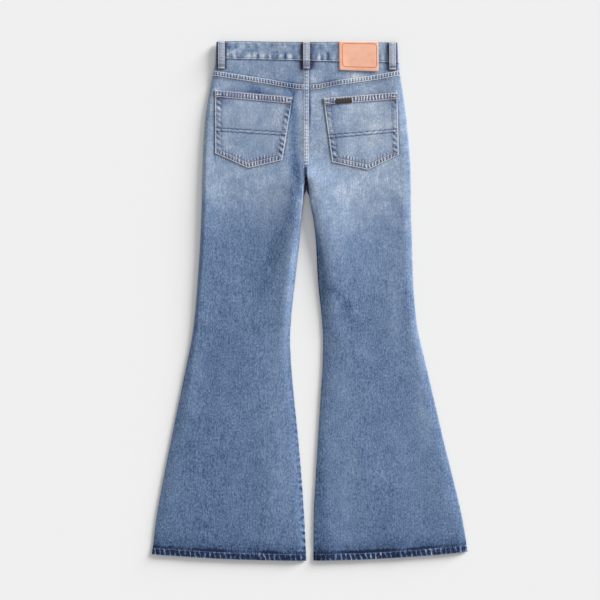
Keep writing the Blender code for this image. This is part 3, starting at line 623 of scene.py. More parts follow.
def seat_top(across, down):
    """Outer face of the back panels before their edges roll: the solids' own, with fuller legs
    and the finer folds."""
    cloth = bpy.context.scene.jeans_cloth
    outer, inner = edge_distances(across, down)
    hip = plateau(0.045, 0.11, 0.52, 0.9, down)
    on_left = across < centre_line(down)
    hip_reach = np.where(on_left, HIP_REACH, 2 * HIP_REACH)
    outer_reach = mix(FULLNESS_REACH, hip_reach, hip)
    full = edge_swell(outer, outer_reach) * edge_swell(inner, FULLNESS_REACH)
    full = full * smooth_step(FULLNESS_START, FULLNESS_END, down) * cloth.fullness
    filled = LOFT * (edge_swell(outer, outer_reach) - edge_swell(outer)) * hip
    side_rise = HIP_RISE + np.where(on_left, LEFT_HIP_RISE, 0.0) * bell(down - 0.35, 0.15)
    side_seam = side_rise * hip * edge_swell(outer, hip_reach) * bell(outer, 0.03)
    flat_hem = HEM_SINK * (1 - smooth_step(0.0, 0.045, hem_line(across, down) - down))
    low = smooth_step(0.3, 0.42, down)
    fine = fold_height(CREASE_ROWS, across, down)
    fine = fine + (0.00035 + 0.00025 * low) * slack(across, down)
    fine = fine * edge_swell(outer) * edge_swell(inner)
    return (back_outer(across, down) + full + np.maximum(filled, 0.0) + side_seam + fine
            + thigh_roll(inner, down) - flat_hem)


def panel_top(across, down):
    """Outer face of the back panels, rolled over at the sides to meet the front."""
    outer, inner = edge_distances(across, down)
    rolled = edge_round(outer, ROLL_REACH, ROLL_DROP) + edge_round(inner, ROLL_REACH, ROLL_DROP)
    creased = 0.00012 * crumple(across, down) * (1 - under_pocket(across, down))
    return seat_top(across, down) + creased - rolled


def band_inner(across):
    return BAND_INNER_SIDE + BAND_INNER_RISE * fly_share(across)


def front_band_drop(across):
    """How far the front of the waistband hangs below its back."""
    half = (right_outer(0.0) - left_outer(0.0)) / 2
    middle = (right_outer(0.0) + left_outer(0.0)) / 2
    return FRONT_DIP * np.maximum(1 - ((across - middle) / half) ** 2, 0.0)


def front_band_bottom(across):
    return band_bottom(across) + front_band_drop(across)


# ------------ wash
def denim_tone(across, down):
    """How far the indigo is washed out: light at the seat, mid blue on the legs, with the light
    reaching further down the right leg's inner thigh, plus the wash rows, which also hold painted
    shade and painted highlights along folds, edges and the crotch."""
    on_left = across < centre_line(down)
    inner = np.abs(across - np.where(on_left, left_inner(down), right_inner(down)))
    reach = SEAT_REACH + 0.008 * wash_edge(across, down)
    reach += np.where(on_left, 0.0, 0.042) * (1 - smooth_step(0.0, 0.15, inner))
    seat = 1 - smooth_step(reach - SEAT_FADE, reach + SEAT_FADE, down)
    side = smooth_step(-0.03, 0.06, across)
    seat_tone = SEAT_TONE + 0.085 * side * smooth_step(0.09, 0.125, down)
    lingering = (0.015 + 0.075 * side) * (1 - smooth_step(0.4, 0.62, down))
    leg_tone = LEG_TONE + 0.015 * side + lingering - 0.055 * smooth_step(0.93, 1.06, down)
    return mix(leg_tone, seat_tone, seat) + fold_height(WASH_AND_SHADE_ROWS, across, down)


# ------------ grids
Rule = namedtuple("Rule", "offset share")
# The darkening mark holds unworn indigo in some places and painted shade in others.
Marks = namedtuple("Marks", "tone wear deep phase pucker rope row frayed grey")


class Spot(namedtuple("Spot", "across down low high top bottom")):
    """Places on a piece, with how far each is from the piece's two edges and two lines."""

    @property
    def side(self):
        return nearest(self.low, self.high)

    @property
    def rim(self):
        return nearest(self.low, self.high, self.top, self.bottom)


def nearest(*distances):
    return np.maximum(np.minimum.reduce(distances), 0.0)


def row_distance(*rows):
    """Distance in millimetres to the nearest row of stitches, given how far from each one is."""
    return np.minimum(np.minimum.reduce([np.abs(row) / MM for row in rows]), ROW_FAR)


def strip_rule(start, end, middle):
    """Where the lines of a grid lie between two edges: fixed strips beside both, even between.
    A line's distance from the first edge is offset + share * the whole width."""
    rest = np.arange(1, middle + 1) / (middle + 1)
    offset = [*start, *(start[-1] - rest * (start[-1] + end[-1])), *[-s for s in reversed(end)]]
    share = [*[0.0] * len(start), *rest, *[1.0] * len(end)]
    return Rule(np.array(offset), np.array(share))


def zoned_rule(start, end, zones, length):
    """As strip_rule, but the even part has zones of (end as a share of the length, spacing)."""
    offset, share = list(start), [0.0] * len(start)
    at = start[-1] / length
    for until, spacing in zones:
        until = min(until, 1 - end[-1] / length)
        count = max(round((until - at) * length / spacing), 1)
        for k in range(count):
            offset.append(0.0)
            share.append(mix(at, until, (k + 1) / count))
        at = until
    offset += [-s for s in reversed(end[:-1])]
    share += [1.0] * (len(end) - 1)
    return Rule(np.array(offset), np.array(share))


def lay_out(i, j, columns, rows, low_edge, high_edge, top_line, bottom_line):
    """Places of grid points between two edges (by down) and two lines (by across)."""
    down = 0.5 * (top_line(0.0 * i) + bottom_line(0.0 * i))
    for _ in range(LAY_OUT_TURNS):
        low, high = low_edge(down), high_edge(down)
        across = low + columns.offset[i] + columns.share[i] * (high - low)
        top, bottom = top_line(across), bottom_line(across)
        down = top + rows.offset[j] + rows.share[j] * (bottom - top)
    return spot_between(across, down, low_edge, high_edge, top_line, bottom_line)


def spot_between(across, down, low_edge, high_edge, top_line, bottom_line):
    return Spot(across, down, across - low_edge(down), high_edge(down) - across,
                down - top_line(across), bottom_line(across) - down)


def marks(spot, tone=None, **given):
    """What the denim reads of each place, nought where it isn't given."""
    nought = 0.0 * spot.across
    tone = denim_tone(spot.across, spot.down) if tone is None else tone
    values = {**dict.fromkeys(Marks._fields, 0.0), "tone": tone, "row": ROW_FAR, **given}
    return Marks(*[nought + values[field] for field in Marks._fields])


def rounded(height, wall, distance, radius, up=1.0):
    """Rounds both rims of a wall towards its edge. up is -1 where the outer face is below."""
    drop = edge_round(distance, radius, np.minimum(radius, RIM_SHARE * wall))
    return height - up * drop, wall - 2 * drop


# ------------ shader nodes
class Value:
    """A number that varies over a surface. Arithmetic on it adds Math nodes."""

    def __init__(self, finish, socket):
        self.finish = finish
        self.socket = socket

    def maths(self, operation, other=None, swapped=False):
        given = [self] if other is None else [self, other]
        if swapped:
            given.reverse()
        node = self.finish.node("ShaderNodeMath", {"operation": operation}, dict(enumerate(given)))
        return Value(self.finish, node.outputs[0])

    def __add__(self, other):
        return self.maths("ADD", other)

    __radd__ = __add__

    def __sub__(self, other):
        return self.maths("SUBTRACT", other)

    def __rsub__(self, other):
        return self.maths("SUBTRACT", other, swapped=True)

    def __mul__(self, other):
        return self.maths("MULTIPLY", other)

    __rmul__ = __mul__

    def __truediv__(self, other):
        return self.maths("DIVIDE", other)

    def __pow__(self, other):
        return self.maths("POWER", other)

    def at_least(self, least):
        return self.maths("MAXIMUM", least)

    def at_most(self, most):
        return self.maths("MINIMUM", most)

    def within(self, least, most):
        return self.at_least(least).at_most(most)

    def ribs(self, spacing):
        """Sine wave with one rib in each spacing."""
        return (self * (FULL_TURN / spacing)).maths("SINE")


class Finish:
    """A node material while it is put together."""

    def __init__(self, name, roughness=0.9, specular=0.25, metallic=0.0):
        self.material = bpy.data.materials.new(name)
        self.material.use_nodes = True
        self.tree = self.material.node_tree
        self.shader = self.tree.nodes["Principled BSDF"]
        self.shader.inputs["Roughness"].default_value = roughness
        self.shader.inputs["Specular IOR Level"].default_value = specular
        self.shader.inputs["Metallic"].default_value = metallic
        self.place = self.node("ShaderNodeTexCoord").outputs["Object"]

    def node(self, kind, settings=None, inputs=None):
        """One node: its settings are set first, then the values or links of its sockets."""
        node = self.tree.nodes.new(kind)
        for key, value in (settings or {}).items():
            if key == "stops":
                self.set_stops(node.color_ramp, value)
            else:
                setattr(node, key, value)
        for key, value in (inputs or {}).items():
            if isinstance(value, Value):
                value = value.socket
            if isinstance(value, bpy.types.NodeSocket):
                self.tree.links.new(value, node.inputs[key])
            else:
                node.inputs[key].default_value = value
        return node

    @staticmethod
    def set_stops(ramp, stops):
        while len(ramp.elements) < len(stops):
            ramp.elements.new(1.0)
        for element, (position, colour) in zip(ramp.elements, stops):
            element.position = position
            element.color = solid(colour)

    def noise(self, per_metre, scale=(1, 1, 1), detail=2.0, roughness=0.55):
        """Noise from about -0.5 to 0.5 with this many lumps in a metre along X. A small scale
        along an axis draws them out along it."""
        stretched = self.node("ShaderNodeVectorMath", {"operation": "MULTIPLY"},
                              {0: self.place, 1: scale}).outputs[0]
        inputs = {"Vector": stretched, "Scale": per_metre, "Detail": detail,
                  "Roughness": roughness}
        return Value(self, self.node("ShaderNodeTexNoise", None, inputs).outputs[0]) - 0.5

    def parts(self, socket):
        node = self.node("ShaderNodeSeparateXYZ", None, {0: socket})
        return [Value(self, node.outputs[k]) for k in range(3)]

    def marked(self, label):
        """The three values of one of the piece's own attributes."""
        node = self.node("ShaderNodeAttribute", {"attribute_name": label})
        return self.parts(node.outputs["Vector"])

    def ramp(self, value, stops):
        return self.node("ShaderNodeValToRGB", {"stops": stops}, {0: value}).outputs[0]

    def mixed(self, factor, first, second):
        inputs = {0: factor, 6: first, 7: second}
        return self.node("ShaderNodeMix", {"data_type": "RGBA"}, inputs).outputs[2]

    def colour(self, socket):
        self.tree.links.new(socket, self.shader.inputs["Base Color"])

    def stain(self, shade, stops):
        self.colour(self.ramp(shade.within(0.0, 1.0), stops))

    def roughness(self, value):
        self.tree.links.new(value.socket, self.shader.inputs["Roughness"])

    def relief(self, height):
        """Height over the surface, in metres, as a bump."""
        bump = self.node("ShaderNodeBump", None, {"Height": height, "Distance": 1.0})
        self.tree.links.new(bump.outputs[0], self.shader.inputs["Normal"])


def shared(name):
    """Keeps one material per name: a finish that was made before is used again."""
    def keep(make):
        def finish():
            return bpy.data.materials.get(name) or make(name)

        return finish

    return keep


@shared("washed_denim")
def washed_denim(name):
    """Twill in washed indigo: base tone, mottling, slubs along the warp, puckers and worn seams,
    darkened by the painted shade that its marks carry.
    """
    f = Finish(name)
    tone, wear, deep = f.marked("wash_marks")
    phase, pucker, rope = f.marked("pucker_marks")
    row, frayed, grey = f.marked("edge_marks")
    across, down, _ = f.parts(f.place)
    fleck = f.noise(430, (1, 0.52, 1), detail=2.0, roughness=0.62)
    mottle = f.noise(215, detail=3.0, roughness=0.65)
    slub = f.noise(420, (1, 0.1, 1), detail=1.0)
    cloud = f.noise(30, detail=2.0)
    jitter = f.noise(70, detail=1.0)
    uneven = f.noise(120, detail=1.0)
    wisp = f.noise(48, (1, 0.7, 1), detail=3.0, roughness=0.6)
    stretch = f.noise(22, detail=1.0)
    weave = across.ribs(WARP_SPACING) * 0.4 + (across * WALE_SLOPE + down).ribs(WALE_SPACING) * 0.6

    # Puckers and roping, the thread of each row and the shade beside it
    wave = (phase + jitter * 0.95).ribs(1.0)
    ridge = wave * pucker * (0.9 + uneven * 2.2 + stretch * 1.8).at_least(0.2)
    roping = ((wave + uneven * 2.0 - 0.15).at_least(0.0) ** 1.4) * rope
    sewn = (1.0 - row / 1.25).at_least(0.0) * (0.8 + uneven * 0.9)
    beside = (1.0 - (row - 2.0).maths("ABSOLUTE")).at_least(0.0) * (0.85 + uneven * 1.6)

    # How far the indigo is washed out, darkened where the marks carry unworn indigo and painted
    # shade
    seat = ((tone - 0.5) * 6.0).within(0.0, 1.0)
    grain = fleck * 0.86 + mottle * 0.3 + slub * 0.26 + weave * 0.03
    grain = (grain * (1.3 - tone * 0.8) + cloud * (seat * 0.2 + 0.14)
             + wisp * (tone * 0.36 + seat * 0.1)) * bpy.context.scene.jeans_colours.contrast
    shade = tone + grain + ridge * 0.36 - pucker * 0.06 + roping * 0.72 + wear * 0.3
    shade = shade - deep * 0.3 + frayed * (0.45 + fleck * 1.2) + sewn * 0.3 - beside * 0.3
    washed = f.ramp(shade.within(0.0, 1.0), DENIM_STOPS)

    # A grey cast where grey is above nought, and a brown one in the folds of aged seams, which also
    # tints the painted shade beside their rows
    greyed = f.mixed((grey * (0.75 + wave * 0.2)).within(0.0, 0.9), washed, solid(GREY_CAST))
    brown = beside * 0.5 - pucker * wave.at_most(0.0) * 0.85 + deep.at_most(1.5) * 0.35
    warmth = (brown * (0.25 - grey).within(0.0, 1.0) * seat).within(0.0, 0.7)
    seamed = f.mixed(warmth, greyed, solid(BROWN_CAST))
    f.colour(f.mixed((sewn * seat * 0.62).within(0.0, 0.8), seamed, solid(SEWN_CAST)))
    f.relief(weave * 0.00002 + fleck * 0.00009 + mottle * 0.00006 + slub * 0.00006
             + ridge * 0.00022 + roping * 0.0003 - beside * 0.00008)
    return f.material


def sewing_thread(name, colour, darkest=0.62):
    """Twisted sewing thread that has faded unevenly."""
    @shared(name)
    def finish(name):
        f = Finish(name, roughness=0.75)
        pale = getattr(bpy.context.scene.jeans_colours, colour)
        fade = f.noise(90, detail=1.0)
        ply = f.noise(1500, (1, 1, 0.4), detail=1.0)
        share = (fade * 0.9 + ply * 0.9 + 0.5).within(0.0, 1.0)
        f.colour(f.mixed(share, (*[c * darkest for c in pale], 1.0), (*pale, 1.0)))
        f.relief(ply * 0.0001)
        return f.material

    return finish


pale_thread = sewing_thread("pale_thread", "thread")
hem_thread = sewing_thread("hem_thread", "hem_thread", darkest=0.42)
brown_thread = sewing_thread("brown_thread", "dark_thread")
patch_thread = sewing_thread("patch_thread", "patch_thread")


@shared("patch_leather")
def patch_leather(name):
    """Light vegetable-tanned leather: fine grain, soft blotches, burnished rim and pressed line."""
    f = Finish(name, specular=0.4)
    _, wear, deep = f.marked("wash_marks")
    grain = f.noise(900, detail=3.0, roughness=0.6)
    pore = f.noise(2600, detail=1.0)
    blotch = f.noise(55, detail=2.0)
    f.stain(0.62 + blotch * 0.36 + grain * 0.2 - deep * 0.5 + wear * 0.3, LEATHER_STOPS)
    f.roughness(0.56 + grain * 0.25 + deep * 0.1)
    f.relief(grain * 0.00016 + pore * 0.00005)
    return f.material


@shared("woven_tab")
def woven_tab(name):
    """Dark ribbon with fine ribs across it."""
    f = Finish(name, roughness=0.7)
    across, down, _ = f.parts(f.place)
    rib = (down + across * TAB_SLOPE).ribs(RIB_SPACING)
    pick = across.ribs(PICK_SPACING)
    f.stain(0.45 + rib * 0.14 + pick * 0.1 + f.noise(700, detail=2.0) * 0.5, TAB_STOPS)
    f.relief(rib * 0.00007 + pick * 0.00004)
    return f.material


@shared("tack_brass")
def tack_brass(name):
    """Brushed brass that has dulled in its hollows."""
    f = Finish(name, metallic=1.0, specular=0.5)
    dull = f.noise(240, detail=3.0)
    scratch = f.noise(1800, (1, 0.1, 1), detail=1.0)
    f.stain(0.5 + dull * 1.2 + scratch * 0.4, BRASS_STOPS)
    f.roughness(0.38 + dull * 0.4)
    f.relief(scratch * 0.00003)
    return f.material


@shared("zip_ribbon")
def zip_ribbon(name):
    """Herringbone tape."""
    f = Finish(name, roughness=0.8)
    across, down, _ = f.parts(f.place)
    bone = (across.maths("ABSOLUTE") + down).ribs(BONE_SPACING)
    f.stain(0.5 + bone * 0.25 + f.noise(600, detail=2.0) * 0.6, TAPE_STOPS)
    f.relief(bone * 0.00006)
    return f.material


@shared("inside_denim")
def inside_denim(name):
    """Denim that is carried over from the solids and has no marks of its own."""
    f = Finish(name)
    across, down, _ = f.parts(f.place)
    mottle = f.noise(250, detail=3.0, roughness=0.65)
    slub = f.noise(430, (1, 0.085, 1), detail=1.0)
    wale = (across * WALE_SLOPE - down).ribs(WALE_SPACING)
    f.stain(0.62 + mottle * 0.35 + slub * 0.3 + wale * 0.02, DENIM_STOPS)
    f.relief(wale * 0.00003 + mottle * 0.00022)
    return f.material


@shared("studio_floor")
def studio_floor(name):
    """Seamless paper."""
    f = Finish(name, roughness=0.95, specular=0.1)
    pale = bpy.context.scene.jeans_stage.floor
    tooth = (f.noise(300, detail=2.0) + 0.5).within(0.0, 1.0)
    f.colour(f.mixed(tooth, (*pale, 1.0), (*[c * 0.985 for c in pale], 1.0)))
    return f.material


# ------------ pieces
def new_object(name, data):
    made = bpy.data.objects.new(name, data)
    bpy.context.scene.collection.objects.link(made)
    return made


def mesh_of(name, bm):
    mesh = bpy.data.meshes.new(name)
    bm.to_mesh(mesh)
    bm.free()
    return mesh


def finish_piece(name, mesh, finish, node=None):
    piece = new_object(name, mesh)
    mesh.materials.append(finish())
    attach(piece, "root")
    if node:
        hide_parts(node)
    return piece


def cloth_grid(name, node, columns, rows, place, finish=washed_denim, slot="denim",
               faces_down=False):
    """Grid whose outer face, wall and marks come from place(i, j), as arrays."""
    bm = bmesh.new()
    bmesh.ops.create_grid(bm, x_segments=columns - 1, y_segments=rows - 1, size=0.5)
    if faces_down:
        bmesh.ops.reverse_faces(bm, faces=bm.faces)
    mesh = mesh_of(name, bm)
    flat = np.empty(len(mesh.vertices) * 3)
    mesh.vertices.foreach_get("co", flat)
    flat = flat.reshape(-1, 3)
    i = np.rint((flat[:, 0] + 0.5) * (columns - 1)).astype(int)
    j = np.rint((0.5 - flat[:, 1]) * (rows - 1)).astype(int)
    across, down, height, wall, given = place(i, j)
    points = np.stack([across, WAIST_Y - down, height], axis=1)
    mesh.vertices.foreach_set("co", points.ravel())
    for k, label in enumerate(MARK_LAYERS):
        values = np.stack(given[3 * k:3 * k + 3], axis=1).astype(np.float32)
        layer = mesh.attributes.new(label, "FLOAT_VECTOR", "POINT")
        layer.data.foreach_set("vector", values.ravel())
    mesh.update()
    mesh.shade_smooth()
    piece = finish_piece(name, mesh, finish, node)
    thickest = float(np.max(wall))
    layers = piece.vertex_groups.new(name="layers")
    for index, share in enumerate(np.clip(wall / thickest, THINNEST_SHARE, 1.0)):
        layers.add([index], float(share), "REPLACE")
    solidify = piece.modifiers.new("wall", "SOLIDIFY")
    solidify.thickness = thickest
    solidify.offset = -1.0
    solidify.vertex_group = layers.name
    return piece


def laid_piece(name, node, columns, rows, lines, parts, *given, **looks):
    """Cloth that is laid out between its lines. parts gives its height, wall and marks."""
    def place(i, j):
        spot = lay_out(i, j, columns, rows, *lines)
        return spot.across, spot.down, *parts(spot, *given)

    return cloth_grid(name, node, len(columns.share), len(rows.share), place, **looks)


# ------------ back panels and yokes
SIDES = {True: "left", False: "right"}


def leg_edges(left):
    """Outer and inner edge curves in order of X, each half a seam gap inside the other's."""
    if left:
        return left_outer, lambda down: left_inner(down) - SEAM_GAP / 2
    return lambda down: right_inner(down) + SEAM_GAP / 2, right_outer


def leg_columns(left, outer, inner, middle):
    return strip_rule(outer, inner, middle) if left else strip_rule(inner, outer, middle)


def felled_step(distance, width):
    """One on a felled seam of this width and nought beyond it."""
    return 1 - smooth_step(width - STEP_RUN, width + STEP_RUN / 2, distance)


def on_turned(distance, width):
    """One on a turned hem of this width and nought beyond it."""
    return 1 - smooth_step(width - TURN_RUN, width + TURN_RUN, distance)


def row_grooves(*distances):
    return sum(bell(distance, GROOVE_HALF_WIDTH) for distance in distances)


def fell_ridge(from_centre, down):
    """Rise of the felled centre seam, with a pillow between its two rows of stitches."""
    lasts = 1 - smooth_step(FELL_FADE_START, CROTCH_END, down)
    step = felled_step(from_centre, FELLED_WIDTH) * smooth_step(-0.0004, 0.0002, from_centre)
    between_rows = between(ROW_IN, FELL_ROW_IN, from_centre)
    beat = 0.00012 * np.sin(FULL_TURN * (down / FELL_PUCKER + 0.3 * drift(0.0 * down, down)))
    rise = (FELLED_WALL - DENIM_WALL + PILLOW * between_rows) * step
    rise -= STITCH_GROOVE * row_grooves(from_centre - ROW_IN, from_centre - FELL_ROW_IN)
    return (rise + beat * between_rows) * lasts


def hem_phase(across, to_end):
    """The hem's roping slants across it."""
    return (across + HEM_SLANT * to_end) / HEM_PUCKER


def hem_form(across, to_end):
    """Turned hem: a roping roll below its row of stitches."""
    in_hem = between(-0.003, HEM_ROW, to_end)
    rope = np.sin(FULL_TURN * (hem_phase(across, to_end) + 0.5 * hem_drift(across, 0.0)))
    groove = STITCH_GROOVE * 1.4 * bell(to_end - HEM_ROW, GROOVE_HALF_WIDTH * 1.2)
    return (0.0002 + 0.00028 * rope) * in_hem - groove


def pocket_shade(across, down):
    """Dark line just outside the back pockets and above their mouths: unworn cloth, with painted
    shade of their raised edges.
    """
    dark = 0.0
    for row in POCKET_ROWS:
        left, right, mouth, _ = pocket_lines(row)
        top, bottom = row.top_left[1] * MM, row.bottom_right[1] * MM
        in_height = plateau(top, top + 0.008, bottom - 0.004, bottom + 0.006, down)
        dark += bell(across - left(down) + SHADE_OUT, SHADE_HALF_WIDTH) * in_height
        dark += bell(across - right(down) - SHADE_OUT, SHADE_HALF_WIDTH) * in_height
        share = (across / MM - row.top_left[0]) / (row.top_right[0] - row.top_left[0])
        over = between(0.1, 0.95, share) if row is POCKET_ROWS[0] else 0.35
        above = bell(mouth(across) - down - SHADE_OUT, 0.0065)
        dark += over * above * between(-0.05, 1.05, share)
    return np.clip(dark, 0.0, 1.0)


def back_panel_parts(spot, left):
    """Height, wall and marks of a back leg panel."""
    across, down, to_end = spot.across, spot.down, spot.bottom
    from_centre, from_side = (spot.high, spot.low) if left else (spot.low, spot.high)
    joined = 1 - smooth_step(FELL_FADE_START, CROTCH_END, down)
    in_fell = fell_line(down) - across
    ridge = fell_ridge(in_fell, down)
    in_hem = on_turned(to_end, HEM_WIDTH)
    height = panel_top(across, down) + ridge + hem_form(across, to_end) + HEM_PROUD * in_hem
    wall = DENIM_WALL + (HEM_WALL - DENIM_WALL) * in_hem + np.maximum(ridge, 0.0) * 0.9
    height, wall = rounded(height, wall, to_end, HEM_RIM)

    seam_end = plateau(0.252, 0.266, 0.285, CROTCH_END, down)
    rows_between = band_between(ROW_IN, FELL_ROW_IN, in_fell) * joined * (1 - seam_end)
    inseam = bell(from_centre, 0.0075) * smooth_step(0.3, 0.34, down)
    inseam *= smooth_step(0.62, 0.98, down) if left else smooth_step(0.56, 0.9, down)
    pucker = (0.55 if left else 0.15) * inseam * (1 + 0.6 * hem_drift(down, across))
    pucker += FELL_LADDER * rows_between
    pucker *= 1 - smooth_step(HEM_WIDTH + 0.01, HEM_WIDTH, to_end)
    phase = down / np.where(down < CROTCH_END, FELL_PUCKER, INSEAM_PUCKER)
    phase = np.where(to_end < HEM_WIDTH + 0.004, hem_phase(across, to_end), phase)

    worn = (0.36 + 0.28 * smooth_step(0.15, 0.185, down)) * (1 - smooth_step(0.236, 0.258, down))
    wear = SIDE_WEAR * bell(from_side, 0.0035) + worn * rows_between
    wear += EDGE_WEAR * bell(in_fell - FELLED_WIDTH, EDGE_HALF_WIDTH) * joined
    hem_shade = 1 + 0.7 * hem_drift(across, down)
    deep = hem_shade * bell(to_end - HEM_ROW - 0.0036, 0.0034)
    deep += 0.3 * bell(to_end - HEM_ROW - 0.01, 0.012) + 1.2 * in_hem
    # Painted shade beside the pockets, and just below the yoke seam's step.
    deep += 0.9 * pocket_shade(across, down) + 0.45 * bell(spot.top - 0.0034, 0.0022)
    # Painted shade in the dark wedge where the fell ends at the crotch.
    deep += 3.0 * seam_end * bell(in_fell - FELLED_WIDTH / 2, 0.0026)
    # A dark line beside the fell: unworn indigo in its fold, with painted shade in its corner.
    notch = 0.12 + 1.0 * bell(down - 0.14, 0.03)
    deep += 1.5 * notch * bell(in_fell + 0.0016, 0.002) * joined
    # Painted shade on the right leg's inner edge below the crotch, which turns away from the light.
    if not left:
        deep += 1.3 * plateau(0.325, 0.365, 0.5, 0.62, down) * bell(from_centre, 0.0017)
    open_leg = bell(from_centre, 0.006) * smooth_step(0.32, 0.52, down)
    deep += (0.26 if left else 0.05) * open_leg

    row = row_distance(in_fell - ROW_IN, in_fell - FELL_ROW_IN)
    row = np.where(in_fell > FELL_ROW_IN + ROW_HALF_WIDTH, ROW_FAR, row)
    row = mix(ROW_FAR, row, joined * (1 - seam_end))
    rope = in_hem * (0.66 + 0.35 * hem_drift(across, down))
    frayed_row = np.clip(0.55 + 0.8 * crumple(across, 0.0), 0.0, 1.2)
    frayed = 0.8 * bell(to_end, 0.0012) + 0.75 * bell(to_end - HEM_ROW, 0.0011) * frayed_row
    return height, wall, marks(spot, wear=wear, deep=deep, phase=phase, pucker=pucker, rope=rope,
                               frayed=frayed, row=row)


def back_panel(left):
    hem = left_hem if left else right_hem
    columns = leg_columns(left, ACROSS_STRIPS, FELL_STRIPS, 66)
    zones = ((0.24, 0.0026), (1.0, 0.0034))
    rows = zoned_rule(TOP_STRIPS, HEM_STRIPS, zones, hem(0.0) - yoke_seam(0.0))
    lines = *leg_edges(left), lambda a: yoke_seam(a) + SEAM_GAP / 2, hem
    return laid_piece(f"back_panel_{SIDES[left]}", f"back_leg_{SIDES[left]}", columns, rows, lines,
                      back_panel_parts, left)


def loop_shade(across, down):
    """Painted shade close beside the back belt loops, on both sides of each."""
    dark = 0.0
    for row, (low, low_reach, high, high_reach) in zip(BACK_LOOP_ROWS, LOOP_SHADES):
        aside = across - row.across * MM
        beside = np.maximum(np.abs(aside) - LOOP_WIDTH / 2, 0.0)
        shade = np.where(aside < 0, low * bell(beside, low_reach), high * bell(beside, high_reach))
        dark += shade * (1 - smooth_step(row.end_down * MM, row.end_down * MM + 0.003, down))
    return dark


def yoke_parts(spot, left):
    """Height, wall and marks of a yoke, with the felled seam above the leg panel."""
    across, down, to_seam = spot.across, spot.down, spot.bottom
    from_centre = spot.high if left else spot.low
    pillow = between(YOKE_ROW_IN, YOKE_ROW_OUT, to_seam)
    seam = (FELLED_WALL - DENIM_WALL + PILLOW * pillow) * felled_step(to_seam, YOKE_FELL_WIDTH)
    seam -= STITCH_GROOVE * row_grooves(to_seam - YOKE_ROW_IN, to_seam - YOKE_ROW_OUT)
    ridge = np.maximum(seam, fell_ridge(fell_line(down) - across, down))
    height = panel_top(across, down) + ridge
    wall = DENIM_WALL + np.maximum(ridge, 0.0) * 0.9
    height, wall = rounded(height, wall, to_seam, CLOTH_RIM)

    sewn = 1.0 if left else 0.0
    on_fell = band_between(ROW_IN, FELL_ROW_IN, from_centre) * sewn
    off_fell = smooth_step(FELLED_WIDTH, FELLED_WIDTH + 0.002, from_centre) if left else 1.0
    on_seam = band_between(YOKE_ROW_IN, YOKE_ROW_OUT, to_seam) * off_fell
    tight = off_fell * plateau(-0.09, -0.058, 0.048, 0.078, across)
    phase = np.where(on_fell > 0.05, down / FELL_PUCKER, across / YOKE_PUCKER)
    # Painted shadow just under the waistband's lower edge, and painted shade beside the back loops.
    deep = 1.2 * bell(spot.top, 0.0018) + loop_shade(across, down)
    # A dark line beside the fell: unworn indigo in its fold, with painted shade in its corner.
    if not left:
        deep += 1.1 * bell(from_centre, 0.002)
    # Painted shade in a small crease near the seam's left end.
    fold = plateau(-0.19, -0.165, -0.105, -0.085, across)
    deep += 0.9 * bell(to_seam - 0.0135 + 0.03 * (across + 0.16), 0.001) * fold
    # Painted shadow along the seam's upper edge, and the seam a little darker where it is pulled
    # tight.
    deep += tight * (bell(to_seam - 0.0124, 0.0013) + 0.3 * on_seam)
    row = row_distance(to_seam - YOKE_ROW_IN, to_seam - YOKE_ROW_OUT) + 0.5 * tight
    if left:
        fell_row = row_distance(from_centre - ROW_IN, from_centre - FELL_ROW_IN)
        row = np.where(from_centre < FELL_ROW_IN + ROW_HALF_WIDTH, fell_row, row)
    worn = (0.42 + 0.35 * smooth_step(0.085, 0.1, down)) * on_fell
    worn += sewn * EDGE_WEAR * bell(from_centre - FELLED_WIDTH, EDGE_HALF_WIDTH)
    aged = (0.15 + 0.6 * tight) * off_fell * (1 - smooth_step(0.013, 0.017, to_seam))
    return height, wall, marks(spot, wear=worn + 0.15 * on_seam, deep=deep, phase=phase, row=row,
                               pucker=0.9 * on_seam + FELL_LADDER * on_fell, grey=-aged,
                               frayed=0.45 * bell(to_seam - 0.0006, 0.0009))


def yoke(left):
    columns = leg_columns(left, ACROSS_STRIPS, FELL_STRIPS, 84)
    rows = strip_rule(TOP_STRIPS[:3], YOKE_SEAM_STRIPS, 14)
    lines = (*leg_edges(left), lambda a: band_bottom(a) + SEAM_GAP,
             lambda a: yoke_seam(a) - SEAM_GAP / 2)
    return laid_piece(f"yoke_{SIDES[left]}", f"back_yoke_{SIDES[left]}", columns, rows, lines,
                      yoke_parts, left)


# ------------ front panels
def scoop_side(left):
    return left_outer(SCOOP_SIDE_DOWN) if left else right_outer(SCOOP_SIDE_DOWN)


def scoop_edge(across, left):
    """Mouth of the front pocket: a quarter ellipse round the corner of side seam and waistband."""
    inward = (across - scoop_side(left)) * (1 if left else -1)
    share = np.minimum(np.maximum(inward, 0.0) / SCOOP_WIDTH, 1.0)
    return front_band_bottom(across) + SCOOP_DEPTH * np.sqrt(1 - share * share)


def panel_bottom(across, down):
    """Outer (lower) face of the front panels, rolled up at the folded edges."""
    outer, inner = edge_distances(across, down)
    rolled = edge_round(outer, ROLL_REACH, DENIM_WALL) + edge_round(inner, ROLL_REACH, DENIM_WALL)
    return front_lower(across, down) + FRONT_CLEAR + rolled


def front_leg_edges(left):
    """As the back's, but below the crotch the fronts stay together a little longer."""
    low_edge, high_edge = leg_edges(left)

    def joined(down, edge, aside):
        share = 1 - smooth_step(CROTCH_JOIN_START, CROTCH_JOIN_END, down)
        return mix(edge(down), centre_line(down) + aside * SEAM_GAP / 2, share)

    if left:
        return low_edge, lambda down: joined(down, high_edge, -1)
    return lambda down: joined(down, low_edge, 1), high_edge


